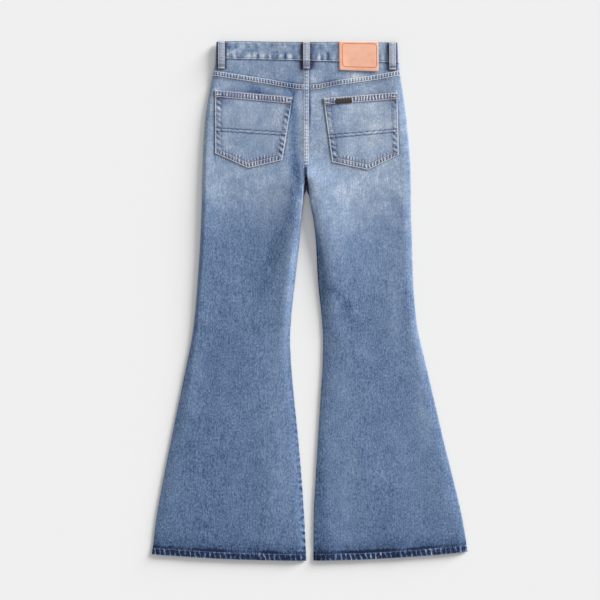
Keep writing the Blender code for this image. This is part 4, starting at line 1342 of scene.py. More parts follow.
def front_panel_parts(spot, left):
    """Height, wall and marks of a front leg panel, whose outer face is below."""
    across, down, to_end = spot.across, spot.down, spot.bottom
    from_centre = spot.high if left else spot.low
    in_hem = on_turned(to_end, HEM_WIDTH)
    wall = FRONT_WALL + (HEM_WALL - DENIM_WALL) * in_hem
    height, wall = rounded(panel_bottom(across, down), wall, to_end, HEM_RIM, up=-1.0)
    height, wall = rounded(height, wall, spot.top, CLOTH_RIM, up=-1.0)
    crotch_shade = plateau(0.245, 0.275, 0.325, 0.35, down)
    deep = 0.2 * bell(to_end - HEM_ROW - 0.006, 0.008) + 0.55 * in_hem
    # Painted shade on the fronts where they show between the legs just below the crotch.
    deep += 1.9 * bell(from_centre, 0.012) * crotch_shade
    wear = 0.25 * bell(spot.top, 0.004) + 0.2 * bell(from_centre, 0.002)
    phase = np.where(to_end < 0.02, hem_phase(across, to_end), down / FELL_PUCKER)
    return height, wall, marks(spot, wear=wear, deep=deep, phase=phase, rope=in_hem)


def front_panel(left):
    hem = left_hem if left else right_hem
    outer = *ACROSS_STRIPS, *[SCOOP_WIDTH * share for share in SCOOP_STRIP_SHARES]
    columns = leg_columns(left, outer, ACROSS_STRIPS[:7], 16)
    zones = ((0.3, 0.0065), (1.0, 0.0085))
    rows = zoned_rule((*TOP_STRIPS, 0.005), HEM_STRIPS, zones, hem(0.0) - front_band_bottom(0.0))
    lines = *front_leg_edges(left), lambda a: scoop_edge(a, left) + SEAM_GAP, hem
    return laid_piece(f"front_panel_{SIDES[left]}", f"front_leg_{SIDES[left]}", columns, rows,
                      lines, front_panel_parts, left, faces_down=True)


# ------------ waistband
Station = namedtuple("Station", "across outside height front")


def band_turn(side, middle, radius, steps):
    """Stations round the band's fold at one side, from the front to the back or the other way."""
    for k in range(steps + 1):
        share = k / steps
        aside = side * radius * math.sin(math.pi * share)
        height = middle + side * radius * math.cos(math.pi * share)
        yield aside, height, 1 - share if side < 0 else share


def band_path():
    """Stations of the waistband's middle surface, from its outer front end to its inner end."""
    radius = (BAND_BACK_MID - BAND_FRONT_MID) / 2
    middle = (BAND_BACK_MID + BAND_FRONT_MID) / 2
    inset = radius + BAND_WALL / 2
    left_end = left_outer(BAND_SIDE_DOWN) + inset
    right_end = right_outer(BAND_SIDE_DOWN) - inset
    front_steps, turn_steps, back_steps, inner_steps = BAND_STEPS
    path = []
    for k in range(front_steps):
        across = mix(LAP_OUTER_END, left_end, k / front_steps)
        path.append(Station(across, 0.0, BAND_FRONT_MID, 1.0))
    path += [Station(left_end, *turn) for turn in band_turn(-1, middle, radius, turn_steps)]
    for k in range(1, back_steps):
        across = mix(left_end, right_end, k / back_steps)
        path.append(Station(across, 0.0, band_inner(across) + BAND_WALL / 2, 0.0))
    path += [Station(right_end, *turn) for turn in band_turn(1, middle, radius, turn_steps)]
    for k in range(1, inner_steps + 1):
        across = mix(right_end, LAP_INNER_END, k / inner_steps)
        path.append(Station(across, 0.0, BAND_FRONT_MID + band_lap(across), 1.0))
    return path


def band_lap(across):
    """How far the band's inner end is raised where the outer end laps below it."""
    return LAP_STEP * (1 - smooth_step(LAP_RAMP_END, LAP_RAMP_START, across))


def band_relief(along, from_top, from_bottom):
    """Finer form of the band's outer face: grooves at its two rows of stitches, and the puckers
    that the rows pull into it."""
    pulls = np.sin(FULL_TURN * (along / BAND_PUCKER + 0.45 * drift(along, 0.0)))
    low = bell(from_bottom - 0.006, 0.007) * pulls
    pulls = np.sin(FULL_TURN * (along / BAND_PUCKER * 0.8 + 0.5 * drift(along, 0.3)))
    high = bell(from_top - 0.006, 0.006) * pulls
    creased = band_crease(along + 0.4 * from_top, from_top)
    grooves = row_grooves(from_top - BAND_ROW_TOP, from_bottom - BAND_ROW_BOTTOM)
    return 0.0003 * low + 0.00024 * high + 0.0003 * creased - STITCH_GROOVE * grooves


def waistband():
    """The band: its middle surface follows the stations, and its outer face is laid on that."""
    path = band_path()
    station = Station(*[np.array(field) for field in zip(*path)])
    middle = station.across + station.outside
    run_x, run_z = np.gradient(middle), np.gradient(station.height)
    length = np.hypot(run_x, run_z)
    rows = strip_rule(*BAND_STRIPS, 16)

    def place(i, j):
        across, front = station.across[i], station.front[i]
        dropped = front_band_drop(across) * front
        top = band_top(across) - BAND_PROUD + dropped
        bottom = band_bottom(across) + dropped
        down = top + rows.offset[j] + rows.share[j] * (bottom - top)
        share = (down - top) / (bottom - top)
        from_top, from_bottom = down - top, bottom - down
        along = across + FRONT_ALONG * front
        relief = band_relief(along, from_top, from_bottom)
        drop = edge_round(nearest(from_top, from_bottom), HEM_RIM, BAND_RIM_DROP)
        rise = BAND_WALL / 2 + relief * (1 - 0.6 * front) - drop
        towards_side = np.clip(across / BAND_FLARE_REACH, -1.0, 1.0)
        flare = mix(-BAND_FLARE, BAND_FLARE, share) * towards_side
        puckered = fold_height(BAND_WASH_ROWS, across, down) * (1 - front)
        wear = 0.25 * relief / 0.0005 + 0.55 * bell(from_top - 0.0025, 0.0011)
        # Dark lines along the band's top fold and lower edge, and painted shade beside the back
        # loops.
        deep = 1.7 * bell(from_top - 0.0002, 0.0009) + 0.8 * bell(from_bottom, 0.0007)
        deep += (1 - front) * loop_shade(across, down)
        spot = Spot(across, down, from_top, from_top, from_top, from_bottom)
        given = marks(spot, tone=BAND_TONE + puckered, wear=wear, deep=deep,
                      phase=across / BAND_PUCKER + 0.45 * drift(along, 0.0),
                      pucker=0.3 * bell(from_bottom - 0.008, 0.0075),
                      row=row_distance(from_bottom - BAND_ROW_BOTTOM),
                      grey=np.clip(0.1 + 1.4 * puckered, 0.0, 0.45))
        x = middle[i] + flare - run_z[i] / length[i] * rise
        height = station.height[i] + run_x[i] / length[i] * rise
        return x, down, height, BAND_WALL - 2 * drop, given

    return cloth_grid("band", "waistband", len(path), len(rows.share), place)


def band_face(across, down):
    """Outer face of the band's back half."""
    from_top = down - band_top(across)
    from_bottom = band_bottom(across) - down
    return band_inner(across) + BAND_WALL + band_relief(across, from_top, from_bottom)


# ------------ what is sewn on
def line_through(first, last, by=0):
    """Straight line through two corners, asked by across, or by down where by is 1."""
    start, end = np.array(first) * MM, np.array(last) * MM
    slope = (end[1 - by] - start[1 - by]) / (end[by] - start[by])
    return lambda place: start[1 - by] + slope * (place - start[by])


def quad_lines(corners):
    """Edges (by down) and lines (by across) of a four-cornered piece."""
    return (line_through(corners.top_left, corners.bottom_left, 1),
            line_through(corners.top_right, corners.bottom_right, 1),
            line_through(corners.top_left, corners.top_right),
            line_through(corners.bottom_left, corners.bottom_right))


def pocket_lines(row):
    """As quad_lines, but the lower edge is two straight lines that meet at the pocket's point."""
    low, high, top, _ = quad_lines(row)
    before = line_through(row.bottom_left, row.point)
    after = line_through(row.point, row.bottom_right)
    return low, high, top, lambda a: np.where(a < row.point[0] * MM, before(a), after(a))


def pocket_middle(row, across):
    """How far down the two plain rows across the pocket's middle lie."""
    share = (across / MM - row.bottom_left[0]) / (row.top_right[0] - row.bottom_left[0])
    return [mix(row.middle_left[k], row.middle_right[k], share) * MM for k in (0, 1)]


def pocket_zones(spot):
    """Distances from a pocket's lower edge and from its nearest one, where its turned mouth is,
    and the pillow between its two rows of stitches."""
    low = spot.bottom * POCKET_END_SHARE
    edge = nearest(spot.side, low)
    in_mouth = on_turned(spot.top, POCKET_HEM)
    pillow = between(POCKET_ROW_OUT, POCKET_ROW_IN, edge) * (1 - in_mouth)
    pillow += between(MOUTH_ROW_OUT, MOUTH_ROW_IN, spot.top) * in_mouth
    return low, edge, in_mouth, pillow


def pocket_form(spot, row):
    """Height and wall of a back pocket."""
    across, down = spot.across, spot.down
    _, edge, in_mouth, pillow = pocket_zones(spot)
    body = smooth_step(0.004, 0.03, edge) * smooth_step(0.012, 0.04, spot.top)
    loose = 0.00055 * body * (1 + 0.5 * crumple(across * 0.6, down * 0.6))
    grooves = row_grooves(edge - POCKET_ROW_OUT, edge - POCKET_ROW_IN, spot.top - MOUTH_ROW_IN)
    grooves += in_mouth * row_grooves(spot.top - MOUTH_ROW_OUT)
    plain = [bell(down - line, GROOVE_HALF_WIDTH * 1.3) for line in pocket_middle(row, across)]
    wall = POCKET_WALL + (POCKET_MOUTH_WALL - POCKET_WALL) * in_mouth
    height = seat_top(across, down) + SEAM_GAP + wall + loose + 0.00028 * pillow
    height -= STITCH_GROOVE * np.minimum(grooves + 0.9 * sum(plain), 1.0)
    return rounded(height, wall, nearest(edge, spot.top), CLOTH_RIM)


def pocket_marks(spot, row):
    """Wash of a back pocket: worn along its rows of stitches, dark inside them, with painted shade
    below its mouth's hem.
    """
    across, down, side = spot.across, spot.down, spot.side
    low, edge, in_mouth, pillow = pocket_zones(spot)
    body = 1 - in_mouth
    at_mouth = spot.top < POCKET_HEM + 0.001
    at_end = low < side + 0.002
    near_side = band_between(POCKET_ROW_OUT, POCKET_ROW_IN + 0.002, side, 0.0016) * body
    in_end = band_between(POCKET_ROW_OUT, POCKET_ROW_IN + 0.001, low)
    in_end += 0.5 * between(POCKET_ROW_IN, POCKET_ROW_IN + 0.012, low)
    on_end = smooth_step(0.0, 0.005, side - low + 0.002)
    rows_mouth = band_between(MOUTH_ROW_OUT, MOUTH_ROW_IN, spot.top)
    slant = np.where(spot.low < spot.high, 1.0, -1.0) * 0.6 * side
    phase = np.where(at_end, across / POCKET_END_PUCKER, (down - slant) / POCKET_SIDE_PUCKER)
    phase = np.where(at_mouth, across / MOUTH_PUCKER, phase)
    patchy = np.clip(0.75 + 0.9 * pocket_pull(across, down), 0.15, 1.5)
    pucker = 0.8 * near_side * (1 - on_end) * patchy
    pucker += 0.95 * in_end * on_end * np.where(low < POCKET_ROW_IN, 1.0, patchy * 1.2)
    pucker = np.where(at_mouth, 1.2 * rows_mouth, pucker)

    first, second = pocket_middle(row, across)
    wear = 0.04 * rows_mouth * in_mouth + 0.1 * pillow * body
    wear += 0.5 * between(0.0, 0.0032, np.maximum(down - first, 0.0)) * (down < second)
    plain = np.maximum(1 - nearest(np.abs(down - first), np.abs(down - second)) / MM / 1.7, 0.0)
    deep = 0.3 * bell(edge - POCKET_ROW_IN - 0.003, 0.003) * body * patchy
    deep += 0.45 * bell(edge - 0.0065, 0.0035) * body * patchy
    deep += 0.5 * bell(edge - POCKET_ROW_IN, 0.001) * body
    # Painted shade below the mouth's turned hem, deepest towards its corners.
    deep += 0.6 * bell(spot.top - POCKET_HEM - 0.0018, 0.0016) + 0.15 * rows_mouth
    deep += 0.75 * bell(spot.top - POCKET_HEM - 0.004, 0.009) * bell(side, 0.02)
    deep += 1.5 * plain
    inner_row = np.abs(edge - POCKET_ROW_IN) + np.where(at_mouth, ROW_FAR * MM, 0.0)
    inner_row += np.where(side < low, ROW_HALF_WIDTH, 0.0)
    aged = np.where(at_mouth, 0.75, np.where(at_end, 0.4, -0.15))
    return marks(spot, tone=denim_tone(across, down) + POCKET_TONE, wear=wear, deep=deep,
                 phase=phase, pucker=pucker, grey=-mix(aged, 0.75, plain),
                 frayed=0.55 * bell(edge - 0.001, 0.0009) * body,
                 row=row_distance(edge - POCKET_ROW_OUT, inner_row, spot.top - MOUTH_ROW_OUT,
                                  spot.top - MOUTH_ROW_IN))


def back_pocket(row):
    columns = strip_rule(POCKET_STRIPS, POCKET_STRIPS, 58)
    rows = strip_rule(MOUTH_STRIPS, [strip / POCKET_END_SHARE for strip in POCKET_STRIPS], 50)
    return laid_piece(row.name, row.node, columns, rows, pocket_lines(row),
                      lambda spot: (*pocket_form(spot, row), pocket_marks(spot, row)))


def strap_arch(share):
    return smooth_step(0.0, LOOP_END_RUN, share) * smooth_step(0.0, LOOP_END_RUN, 1 - share)


def loop_lines(row, start):
    low, high = row.across - LOOP_WIDTH / MM / 2, row.across + LOOP_WIDTH / MM / 2
    top, bottom = start / MM, row.end_down + LOOP_REACH
    return quad_lines(QuadRow((low, top), (high, top), (high, bottom), (low, bottom)))


def back_loop_start(row):
    return band_top(row.across * MM) - LOOP_PROUD


def loop_seat(row, down):
    """Height of the cloth below a back loop along its length."""
    across = row.across * MM
    on_band = band_inner(across) + BAND_WALL
    on_yoke = back_outer(across, down) + row.seam_rise * MM
    edge = band_bottom(across)
    start = np.where(on_yoke > on_band, edge - LOOP_STEP_RUN, edge)
    return mix(on_band, on_yoke, smooth_step(start, start + LOOP_STEP_RUN, down))


def back_loop_face(row, across, down, from_side):
    start = back_loop_start(row)
    t = (down - start) / (row.end_down * MM - start)
    crown = 0.00035 * between(LOOP_ROW, LOOP_WIDTH - LOOP_ROW, from_side)
    grooves = row_grooves(from_side - LOOP_ROW, LOOP_WIDTH - from_side - LOOP_ROW)
    sag = 0.00018 * crumple(across * 2.0, down * 1.3)
    return (loop_seat(row, down) + SEAM_GAP + LOOP_ARCH * strap_arch(t) + LOOP_WALL + crown + sag
            - 0.8 * STITCH_GROOVE * grooves)


def back_loop_parts(spot, row):
    height = back_loop_face(row, spot.across, spot.down, spot.low)
    height, wall = rounded(height, LOOP_WALL, spot.rim, LOOP_RIM)
    # Darker lines inside its edges, and painted shade along its rounded edges.
    deep = 0.55 * bell(spot.side - 0.0034, 0.0009) + 0.5 * bell(spot.side, 0.0006)
    # Painted shade in the fold above its end tack and along its end.
    deep += 1.9 * bell(spot.bottom - 0.0078, 0.0021) + 2.4 * bell(spot.bottom - 0.0006, 0.0013)
    # Painted shade in a crease across the loop.
    deep += row.crimp * bell(spot.bottom - 0.015, 0.0026)
    deep += row.far_shade * bell(spot.high, 0.0016) + 0.6 * bell(spot.top - 0.0065, 0.0018)
    return height, wall, marks(spot, tone=LOOP_TONE, wear=0.3 * bell(spot.side - 0.0014, 0.0009),
                               deep=deep, phase=spot.down / LOOP_PUCKER, pucker=0.2,
                               grey=LOOP_GREY, row=row_distance(spot.bottom - LOOP_END_ROW))


def front_loop_start(row):
    across = row.across * MM
    return band_top(across) + front_band_drop(across) + LOOP_TOP_INSET


def front_loop_face(row, down):
    start = front_loop_start(row)
    t = (down - start) / (row.end_down * MM - start)
    seat = np.minimum(BAND_LIFT, front_lower(row.across * MM, down))
    return seat - SEAM_GAP - FRONT_LOOP_WALL - FRONT_LOOP_ARCH * strap_arch(t)


def front_loop_parts(spot, row):
    height = front_loop_face(row, spot.down)
    height, wall = rounded(height, FRONT_LOOP_WALL, spot.rim, CLOTH_RIM, up=-1.0)
    middle = between(LOOP_ROW, LOOP_WIDTH - LOOP_ROW, spot.low)
    return height, wall, marks(spot, tone=FRONT_LOOP_TONE, wear=0.35 * middle,
                               deep=0.4 * bell(spot.side, 0.0016),
                               phase=spot.down / FRONT_LOOP_PUCKER, pucker=0.35 * middle)


def belt_loop(row, start, parts, **looks):
    columns = strip_rule(LOOP_STRIPS, LOOP_STRIPS, 4)
    rows = strip_rule(RIM_STRIPS, RIM_STRIPS, 32)
    return laid_piece(row.name, row.node, columns, rows, loop_lines(row, start), parts, row,
                      **looks)


def patch_seat(across, down):
    """What the patch lies on: the band, the yoke, and a soft step from one to the other."""
    on_band = band_inner(across) + BAND_WALL
    on_yoke = back_outer(across, down)
    edge = band_bottom(across)
    return mix(on_band, np.maximum(on_yoke, on_band), smooth_step(edge - 0.006, edge + 0.002, down))


def border_distance(spot):
    """Distance from the line that is pressed into the patch inside its rim."""
    width = spot.low + spot.high - BORDER.left - BORDER.right
    height = spot.top + spot.bottom - BORDER.top - BORDER.bottom
    p = np.abs(spot.low - BORDER.left - width / 2) - width / 2 + BORDER_RADIUS
    q = np.abs(spot.top - BORDER.top - height / 2) - height / 2 + BORDER_RADIUS
    outside = np.hypot(np.maximum(p, 0.0), np.maximum(q, 0.0))
    return np.abs(outside + np.minimum(np.maximum(p, q), 0.0) - BORDER_RADIUS)


def corner_shifts(spot, radius):
    """Shifts of a four-cornered grid's points that round its corners and keep the rest."""
    u = 1 - np.clip(spot.side / radius, 0.0, 1.0)
    v = 1 - np.clip(nearest(spot.top, spot.bottom) / radius, 0.0, 1.0)
    inward = np.where(spot.low < spot.high, 1.0, -1.0)
    downward = np.where(spot.top < spot.bottom, 1.0, -1.0)
    shift_across = inward * radius * u * (1 - np.sqrt(1 - v * v / 2))
    return shift_across, downward * radius * v * (1 - np.sqrt(1 - u * u / 2))


def patch_face(spot):
    pressed = 0.00025 * bell(border_distance(spot), 0.0007)
    cushion = 0.00025 * smooth_step(0.0, 0.006, spot.rim)
    wavy = 0.00022 * crumple(spot.across * 0.5, spot.down * 0.5)
    return patch_seat(spot.across, spot.down) + SEAM_GAP + PATCH_WALL + cushion + wavy - pressed


def waist_patch():
    columns = strip_rule(RIM_STRIPS, RIM_STRIPS, 82)
    rows = strip_rule(RIM_STRIPS, RIM_STRIPS, 62)
    lines = quad_lines(PATCH_CORNERS)

    def place(i, j):
        spot = lay_out(i, j, columns, rows, *lines)
        height, wall = rounded(patch_face(spot), PATCH_WALL, spot.rim, PATCH_RIM)
        from_line = border_distance(spot)
        deep = 0.85 * bell(from_line, 0.0013) + 0.35 * bell(spot.rim - 0.0022, 0.0009)
        wear = 0.9 * bell(spot.rim, 0.0014) + 0.35 * bell(from_line - 0.0016, 0.0009)
        shift_across, shift_down = corner_shifts(spot, PATCH_CORNER_RADIUS)
        given = marks(spot, tone=0.0, wear=wear, deep=deep)
        return spot.across + shift_across, spot.down + shift_down, height, wall, given

    return cloth_grid("patch", "waist_patch", len(columns.share), len(rows.share), place,
                      finish=patch_leather, slot="leather")


def woven_label():
    lines = quad_lines(QuadRow(*[(across, down + TAB_HANG) for across, down in TAB_CORNERS]))
    pocket = POCKET_ROWS[1]

    def parts(spot):
        below = spot_between(spot.across, spot.down, *pocket_lines(pocket))
        below = below._replace(low=np.maximum(below.low, TAB_IN),
                               top=np.maximum(below.top, CLOTH_RIM))
        seat, _ = pocket_form(below, pocket)
        bulge = 0.0003 * between(0.0, 0.0098, spot.top)
        height = seat + TAB_WALL + TAB_CLEAR + bulge
        return *rounded(height, TAB_WALL, spot.rim, TAB_RIM), marks(spot, tone=0.0)

    return laid_piece("tab", "pocket_tab", strip_rule(TAB_STRIPS, TAB_STRIPS, 24),
                      strip_rule(TAB_STRIPS, TAB_STRIPS, 8), lines, parts, finish=woven_tab,
                      slot="tab")


# ------------ button
# Half outline of the tack button, as (share of its radius, share of its height)
BUTTON_PROFILE = (
    (0.0, 0.9), (0.2, 0.86), (0.45, 0.72), (0.62, 0.7), (0.74, 0.82), (0.86, 0.96),
    (0.95, 0.92), (1.0, 0.72), (0.97, 0.5), (0.82, 0.34), (0.45, 0.24), (0.42, 0.0),
)


def tack_button():
    """Tack button, its shape spun round its axis: a domed rim round a dished middle."""
    bm = bmesh.new()
    points = [bm.verts.new((BUTTON_RADIUS * r, 0.0, -BUTTON_HEIGHT * h)) for r, h in BUTTON_PROFILE]
    edges = [bm.edges.new(pair) for pair in zip(points, points[1:])]
    bmesh.ops.spin(bm, geom=points + edges, cent=(0, 0, 0), axis=(0, 0, 1), angle=FULL_TURN,
                   steps=48, use_merge=True)
    bmesh.ops.remove_doubles(bm, verts=bm.verts, dist=0.00002)
    rim = [edge for edge in bm.edges if edge.is_boundary]
    bmesh.ops.holes_fill(bm, edges=rim, sides=0)
    bmesh.ops.recalc_face_normals(bm, faces=bm.faces)
    place = Vector((BUTTON_ACROSS, WAIST_Y - BUTTON_DOWN, BUTTON_CLEAR + BUTTON_HEIGHT))
    bmesh.ops.translate(bm, verts=bm.verts, vec=place)
    mesh = mesh_of("button", bm)
    mesh.shade_smooth()
    return finish_piece("button", mesh, tack_brass, "waist_button")


# ------------ stitching
class Thread:
    """Places of many stitches, which become one piece: each is a slim grain along its own line."""

    def __init__(self):
        self.frames = []
        self.cloth = bpy.context.scene.jeans_cloth

    def height(self, face, across, down, facing, proud):
        """Height of the thread's middle, which stays off the floor."""
        width = self.cloth.thread_width
        return np.maximum(face(across, down) + facing * width * proud, width * FLOOR_SHARE)

    def stitch(self, start, end, facing, flatness):
        along = Vector(end) - Vector(start)
        middle = (Vector(start) + Vector(end)) / 2
        width = self.cloth.thread_width
        side = along.cross(Vector((0.0, 0.0, facing))).normalized() * width
        rise = side.cross(along).normalized() * (width * flatness)
        self.frames.append([tuple(axis) for axis in (side, rise, along, middle)])

    def sew(self, across, down, face, facing=1.0, pitch=None):
        """Stitches along a path on the face of a piece."""
        lengths = np.concatenate([[0.0], np.cumsum(np.hypot(np.diff(across), np.diff(down)))])
        count = max(int(lengths[-1] / (pitch or self.cloth.stitch_pitch)), 1)
        ends = []
        for share in STITCH_ENDS:
            at = (np.arange(count) + share) * lengths[-1] / count
            a, d = np.interp(at, lengths, across), np.interp(at, lengths, down)
            ends.append(np.stack([a, WAIST_Y - d, self.height(face, a, d, facing, 0.1)], axis=1))
        for start, end in zip(*ends):
            self.stitch(start, end, facing, 0.75)

    def tack(self, start, end, face, half_length, facing=1.0):
        """Bartack: short stitches side by side along a line, each square to it."""
        run = np.array(end) - start
        length = math.hypot(*run)
        run /= length
        count = max(int(length / TACK_PITCH), 2)
        for k in range(count):
            middle = start + run * length * (k + 0.5) / count
            across = middle[0] - half_length * run[1] * np.array([-1, 1])
            down = middle[1] + half_length * run[0] * np.array([-1, 1])
            height = self.height(face, across, down, facing, 0.3)
            self.stitch(*np.stack([across, WAIST_Y - down, height], axis=1), facing, 0.8)

    def piece(self, name, finish):
        bm = bmesh.new()
        bmesh.ops.create_uvsphere(bm, u_segments=6, v_segments=4, radius=0.5)
        grain = mesh_of("grain", bm)
        bm = bmesh.new()
        for _ in self.frames:
            bm.from_mesh(grain)
        mesh = mesh_of(name, bm)
        shape = np.array([vertex.co for vertex in grain.vertices])
        bpy.data.meshes.remove(grain)
        frames = np.array(self.frames)
        points = shape @ frames[:, :3] + frames[:, 3:]
        mesh.vertices.foreach_set("co", points.ravel())
        mesh.update()
        mesh.shade_smooth()
        return finish_piece(name, mesh, finish)


def straight(start, end, count=60):
    return np.linspace(start[0], end[0], count), np.linspace(start[1], end[1], count)


def yoke_face(across, down):
    step = felled_step(yoke_seam(across) - down, YOKE_FELL_WIDTH)
    return panel_top(across, down) + (FELLED_WALL - DENIM_WALL) * step - STITCH_GROOVE


def fell_face(across, down):
    return panel_top(across, down) + fell_ridge(fell_line(down) - across, down)


def seam_stitches():
    """The yoke's and the centre seam's pairs of rows."""
    rows = Thread()
    left = np.linspace(left_outer(0.08) + 0.002, -0.0135, 120)
    right = np.linspace(0.0012, right_outer(0.075) - 0.002, 120)
    for row_in in (YOKE_ROW_IN, YOKE_ROW_OUT):
        for across in (left, right):
            rows.sew(across, yoke_seam(across) - row_in, yoke_face)
    down = np.linspace(0.046, 0.262, 160)
    for row_in in (ROW_IN, FELL_ROW_IN):
        rows.sew(fell_line(down) - row_in, down, fell_face)
    return rows.piece("seam_stitches", pale_thread)


def hem_stitches():
    rows = Thread()
    for hem, low, high in ((left_hem, -0.324, -0.011), (right_hem, 0.011, 0.3245)):
        across = np.linspace(low, high, 160)
        down = hem(across) - HEM_ROW

        def upper(a, d, hem=hem):
            return panel_top(a, d) + hem_form(a, hem(a) - d) + HEM_PROUD

        rows.sew(across, down, upper, pitch=HEM_PITCH)
        rows.sew(across, down, panel_bottom, -1.0, HEM_PITCH)
    return rows.piece("hem_stitches", hem_thread)


def band_stitches():
    rows = Thread()
    across = np.linspace(left_outer(BAND_SIDE_DOWN) + 0.004,
                         right_outer(BAND_SIDE_DOWN) - 0.004, 240)
    lifted = front_band_drop(across)

    def front_face(across, down):
        lapped = smooth_step(LAP_OUTER_END, LAP_OUTER_END + 0.0002, across)
        return BAND_LIFT + band_lap(across) * lapped

    lines = band_top(across) + BAND_ROW_TOP, band_bottom(across) - BAND_ROW_BOTTOM
    for line in lines:
        rows.sew(across, line, band_face)
    for line in lines:
        rows.sew(across, line + lifted, front_face, -1.0)
    lap_end = LAP_OUTER_END - LAP_ROW_IN
    rows.sew(*straight((lap_end, 0.019), (lap_end, 0.052), 30), front_face, -1.0)
    return rows.piece("band_stitches", pale_thread)


def loop_stitches():
    rows = Thread()

    def sew_loop(row, start, face, reach, end_row, facing):
        middle, end = row.across * MM, (row.end_down + LOOP_REACH) * MM
        for across in (middle - LOOP_WIDTH / 2 + LOOP_ROW, middle + LOOP_WIDTH / 2 - LOOP_ROW):
            rows.sew(*straight((across, start + 0.003), (across, end - 0.003)), face, facing)
        for down in (start + 0.003, end - end_row):
            rows.tack((middle - reach, down), (middle + reach, down), face, 0.0011, facing)

    for row in BACK_LOOP_ROWS:
        low = row.across * MM - LOOP_WIDTH / 2
        sew_loop(row, back_loop_start(row), lambda a, d: back_loop_face(row, a, d, a - low),
                 LOOP_WIDTH / 2 - 0.0022, LOOP_END_ROW, 1.0)
    for row in FRONT_LOOP_ROWS:
        sew_loop(row, front_loop_start(row), lambda a, d: front_loop_face(row, d), 0.005, 0.003,
                 -1.0)
    return rows.piece("loop_stitches", pale_thread)


def pocket_outline(row, inset):
    """Side, bottom and side lines of a pocket, this far inside its edges."""
    low, high, _, bottom = pocket_lines(row)
    columns = strip_rule((inset,), (inset,), 0)
    rows = Rule(np.array([0.0, -inset / POCKET_END_SHARE]), np.array([0.0, 1.0]))
    spot = lay_out(np.array([0, 1]), np.array([1, 1]), columns, rows, low, high,
                   lambda a: 0.0 * a, bottom)
    left, right = zip(spot.across, spot.down)
    left_top, right_top = row.top_left[1] * MM + 0.003, row.top_right[1] * MM + 0.003
    point = row.point[0] * MM, row.point[1] * MM - inset / POCKET_END_SHARE
    corners = ((low(left_top) + inset, left_top), left, point, right,
               (high(right_top) - inset, right_top))
    return [straight(start, end) for start, end in zip(corners, corners[1:])]


def pocket_stitches():
    pale, brown = Thread(), Thread()
    for row in POCKET_ROWS:
        lines = pocket_lines(row)
        low, high, top, _ = lines

        def face(across, down, row=row, lines=lines):
            return pocket_form(spot_between(across, down, *lines), row)[0]

        for across, down in pocket_outline(row, POCKET_ROW_OUT):
            pale.sew(across, down, face)
        for across, down in pocket_outline(row, POCKET_ROW_IN):
            below_hem = down > top(across) + POCKET_HEM
            pale.sew(across[below_hem], down[below_hem], face)
        across = np.linspace(low(row.top_left[1] * MM) + 0.0015,
                             high(row.top_right[1] * MM) - 0.0015, 80)
        for inset in (MOUTH_ROW_OUT, MOUTH_ROW_IN):
            pale.sew(across, top(across) + inset, face)
        for side, edge in ((1, low), (-1, high)):
            for step in (0.0035, 0.0105):
                down = top(edge(row.top_left[1] * MM)) + step
                near = edge(down) + side * 0.0018
                pale.tack((near, down), (near + side * 0.0105, down), face, 0.001)
        for k in (0, 1):
            across = np.linspace(low(row.middle_left[k] * MM) + 0.001,
                                 high(row.middle_right[k] * MM) - 0.001, 80)
            brown.sew(across, pocket_middle(row, across)[k], face)
    pale.piece("pocket_stitches", pale_thread)
    brown.piece("pocket_middle_stitches", brown_thread)


def patch_stitches():
    """Rounded line of small stitches inside the patch's rim."""
    rows = Thread()
    lines = low, high, top, bottom = quad_lines(PATCH_CORNERS)
    across, down = [sum(corner[k] for corner in PATCH_CORNERS) / 4 * MM for k in (0, 1)]
    left, right = low(down), high(down)
    width = right - left - BORDER.left - BORDER.right
    height = bottom(across) - top(across) - BORDER.top - BORDER.bottom
    placed = []
    for corner in range(4):
        square = corner * math.pi / 2
        for turn in np.linspace(square, square + math.pi / 2, 7):
            p, q = math.cos(turn) * BORDER_RADIUS, math.sin(turn) * BORDER_RADIUS
            p += math.copysign(width / 2 - BORDER_RADIUS, math.cos(square + math.pi / 4))
            q += math.copysign(height / 2 - BORDER_RADIUS, math.sin(square + math.pi / 4))
            across = left + BORDER.left + width / 2 + p
            down = top(across) + BORDER.top + height / 2 + q
            placed.append((across + low(down) - left, down))
    placed.append(placed[0])
    rows.sew(*np.array(placed).T, lambda a, d: patch_face(spot_between(a, d, *lines)),
             pitch=PATCH_PITCH)
    return rows.piece("patch_stitches", patch_thread)


def front_stitches():
    """Front pocket mouths, the fly's curved rows and the front seam, below the garment."""
    rows = Thread()
    angle = np.linspace(0.1, math.pi / 2 - 0.06, 60)
    for left in (True, False):
        for inset in FRONT_ROWS:
            reach = (SCOOP_WIDTH + inset) * np.cos(angle)
            across = scoop_side(left) + (reach if left else -reach)
            depth = (SCOOP_DEPTH + inset) * np.sin(angle)
            rows.sew(across, front_band_bottom(across) + depth, panel_bottom, -1.0)
    straight_down, turn = np.linspace(FLY_TOP, FLY_BEND, 40), np.linspace(0.0, math.pi / 2, 20)
    for inset in (0.0, FLY_ROWS_APART):
        bend = FLY_BEND_ACROSS - inset, FLY_BEND_DOWN - inset
        across = np.concatenate([np.full_like(straight_down, FLY_FOOT - bend[0]),
                                 FLY_FOOT - bend[0] * np.cos(turn)])
        down = np.concatenate([straight_down, FLY_BEND + bend[1] * np.sin(turn)])
        rows.sew(across, down, panel_bottom, -1.0)
    down = np.linspace(0.2, 0.262, 40)
    for inset in FRONT_ROWS:
        rows.sew(centre_line(down) - inset, down, panel_bottom, -1.0)
    return rows.piece("front_stitches", pale_thread)


# ------------ sheets
# What each sheet is cut from: its flat width, length and area, none where it is a rectangle
SheetRow = namedtuple("SheetRow", "width length area")


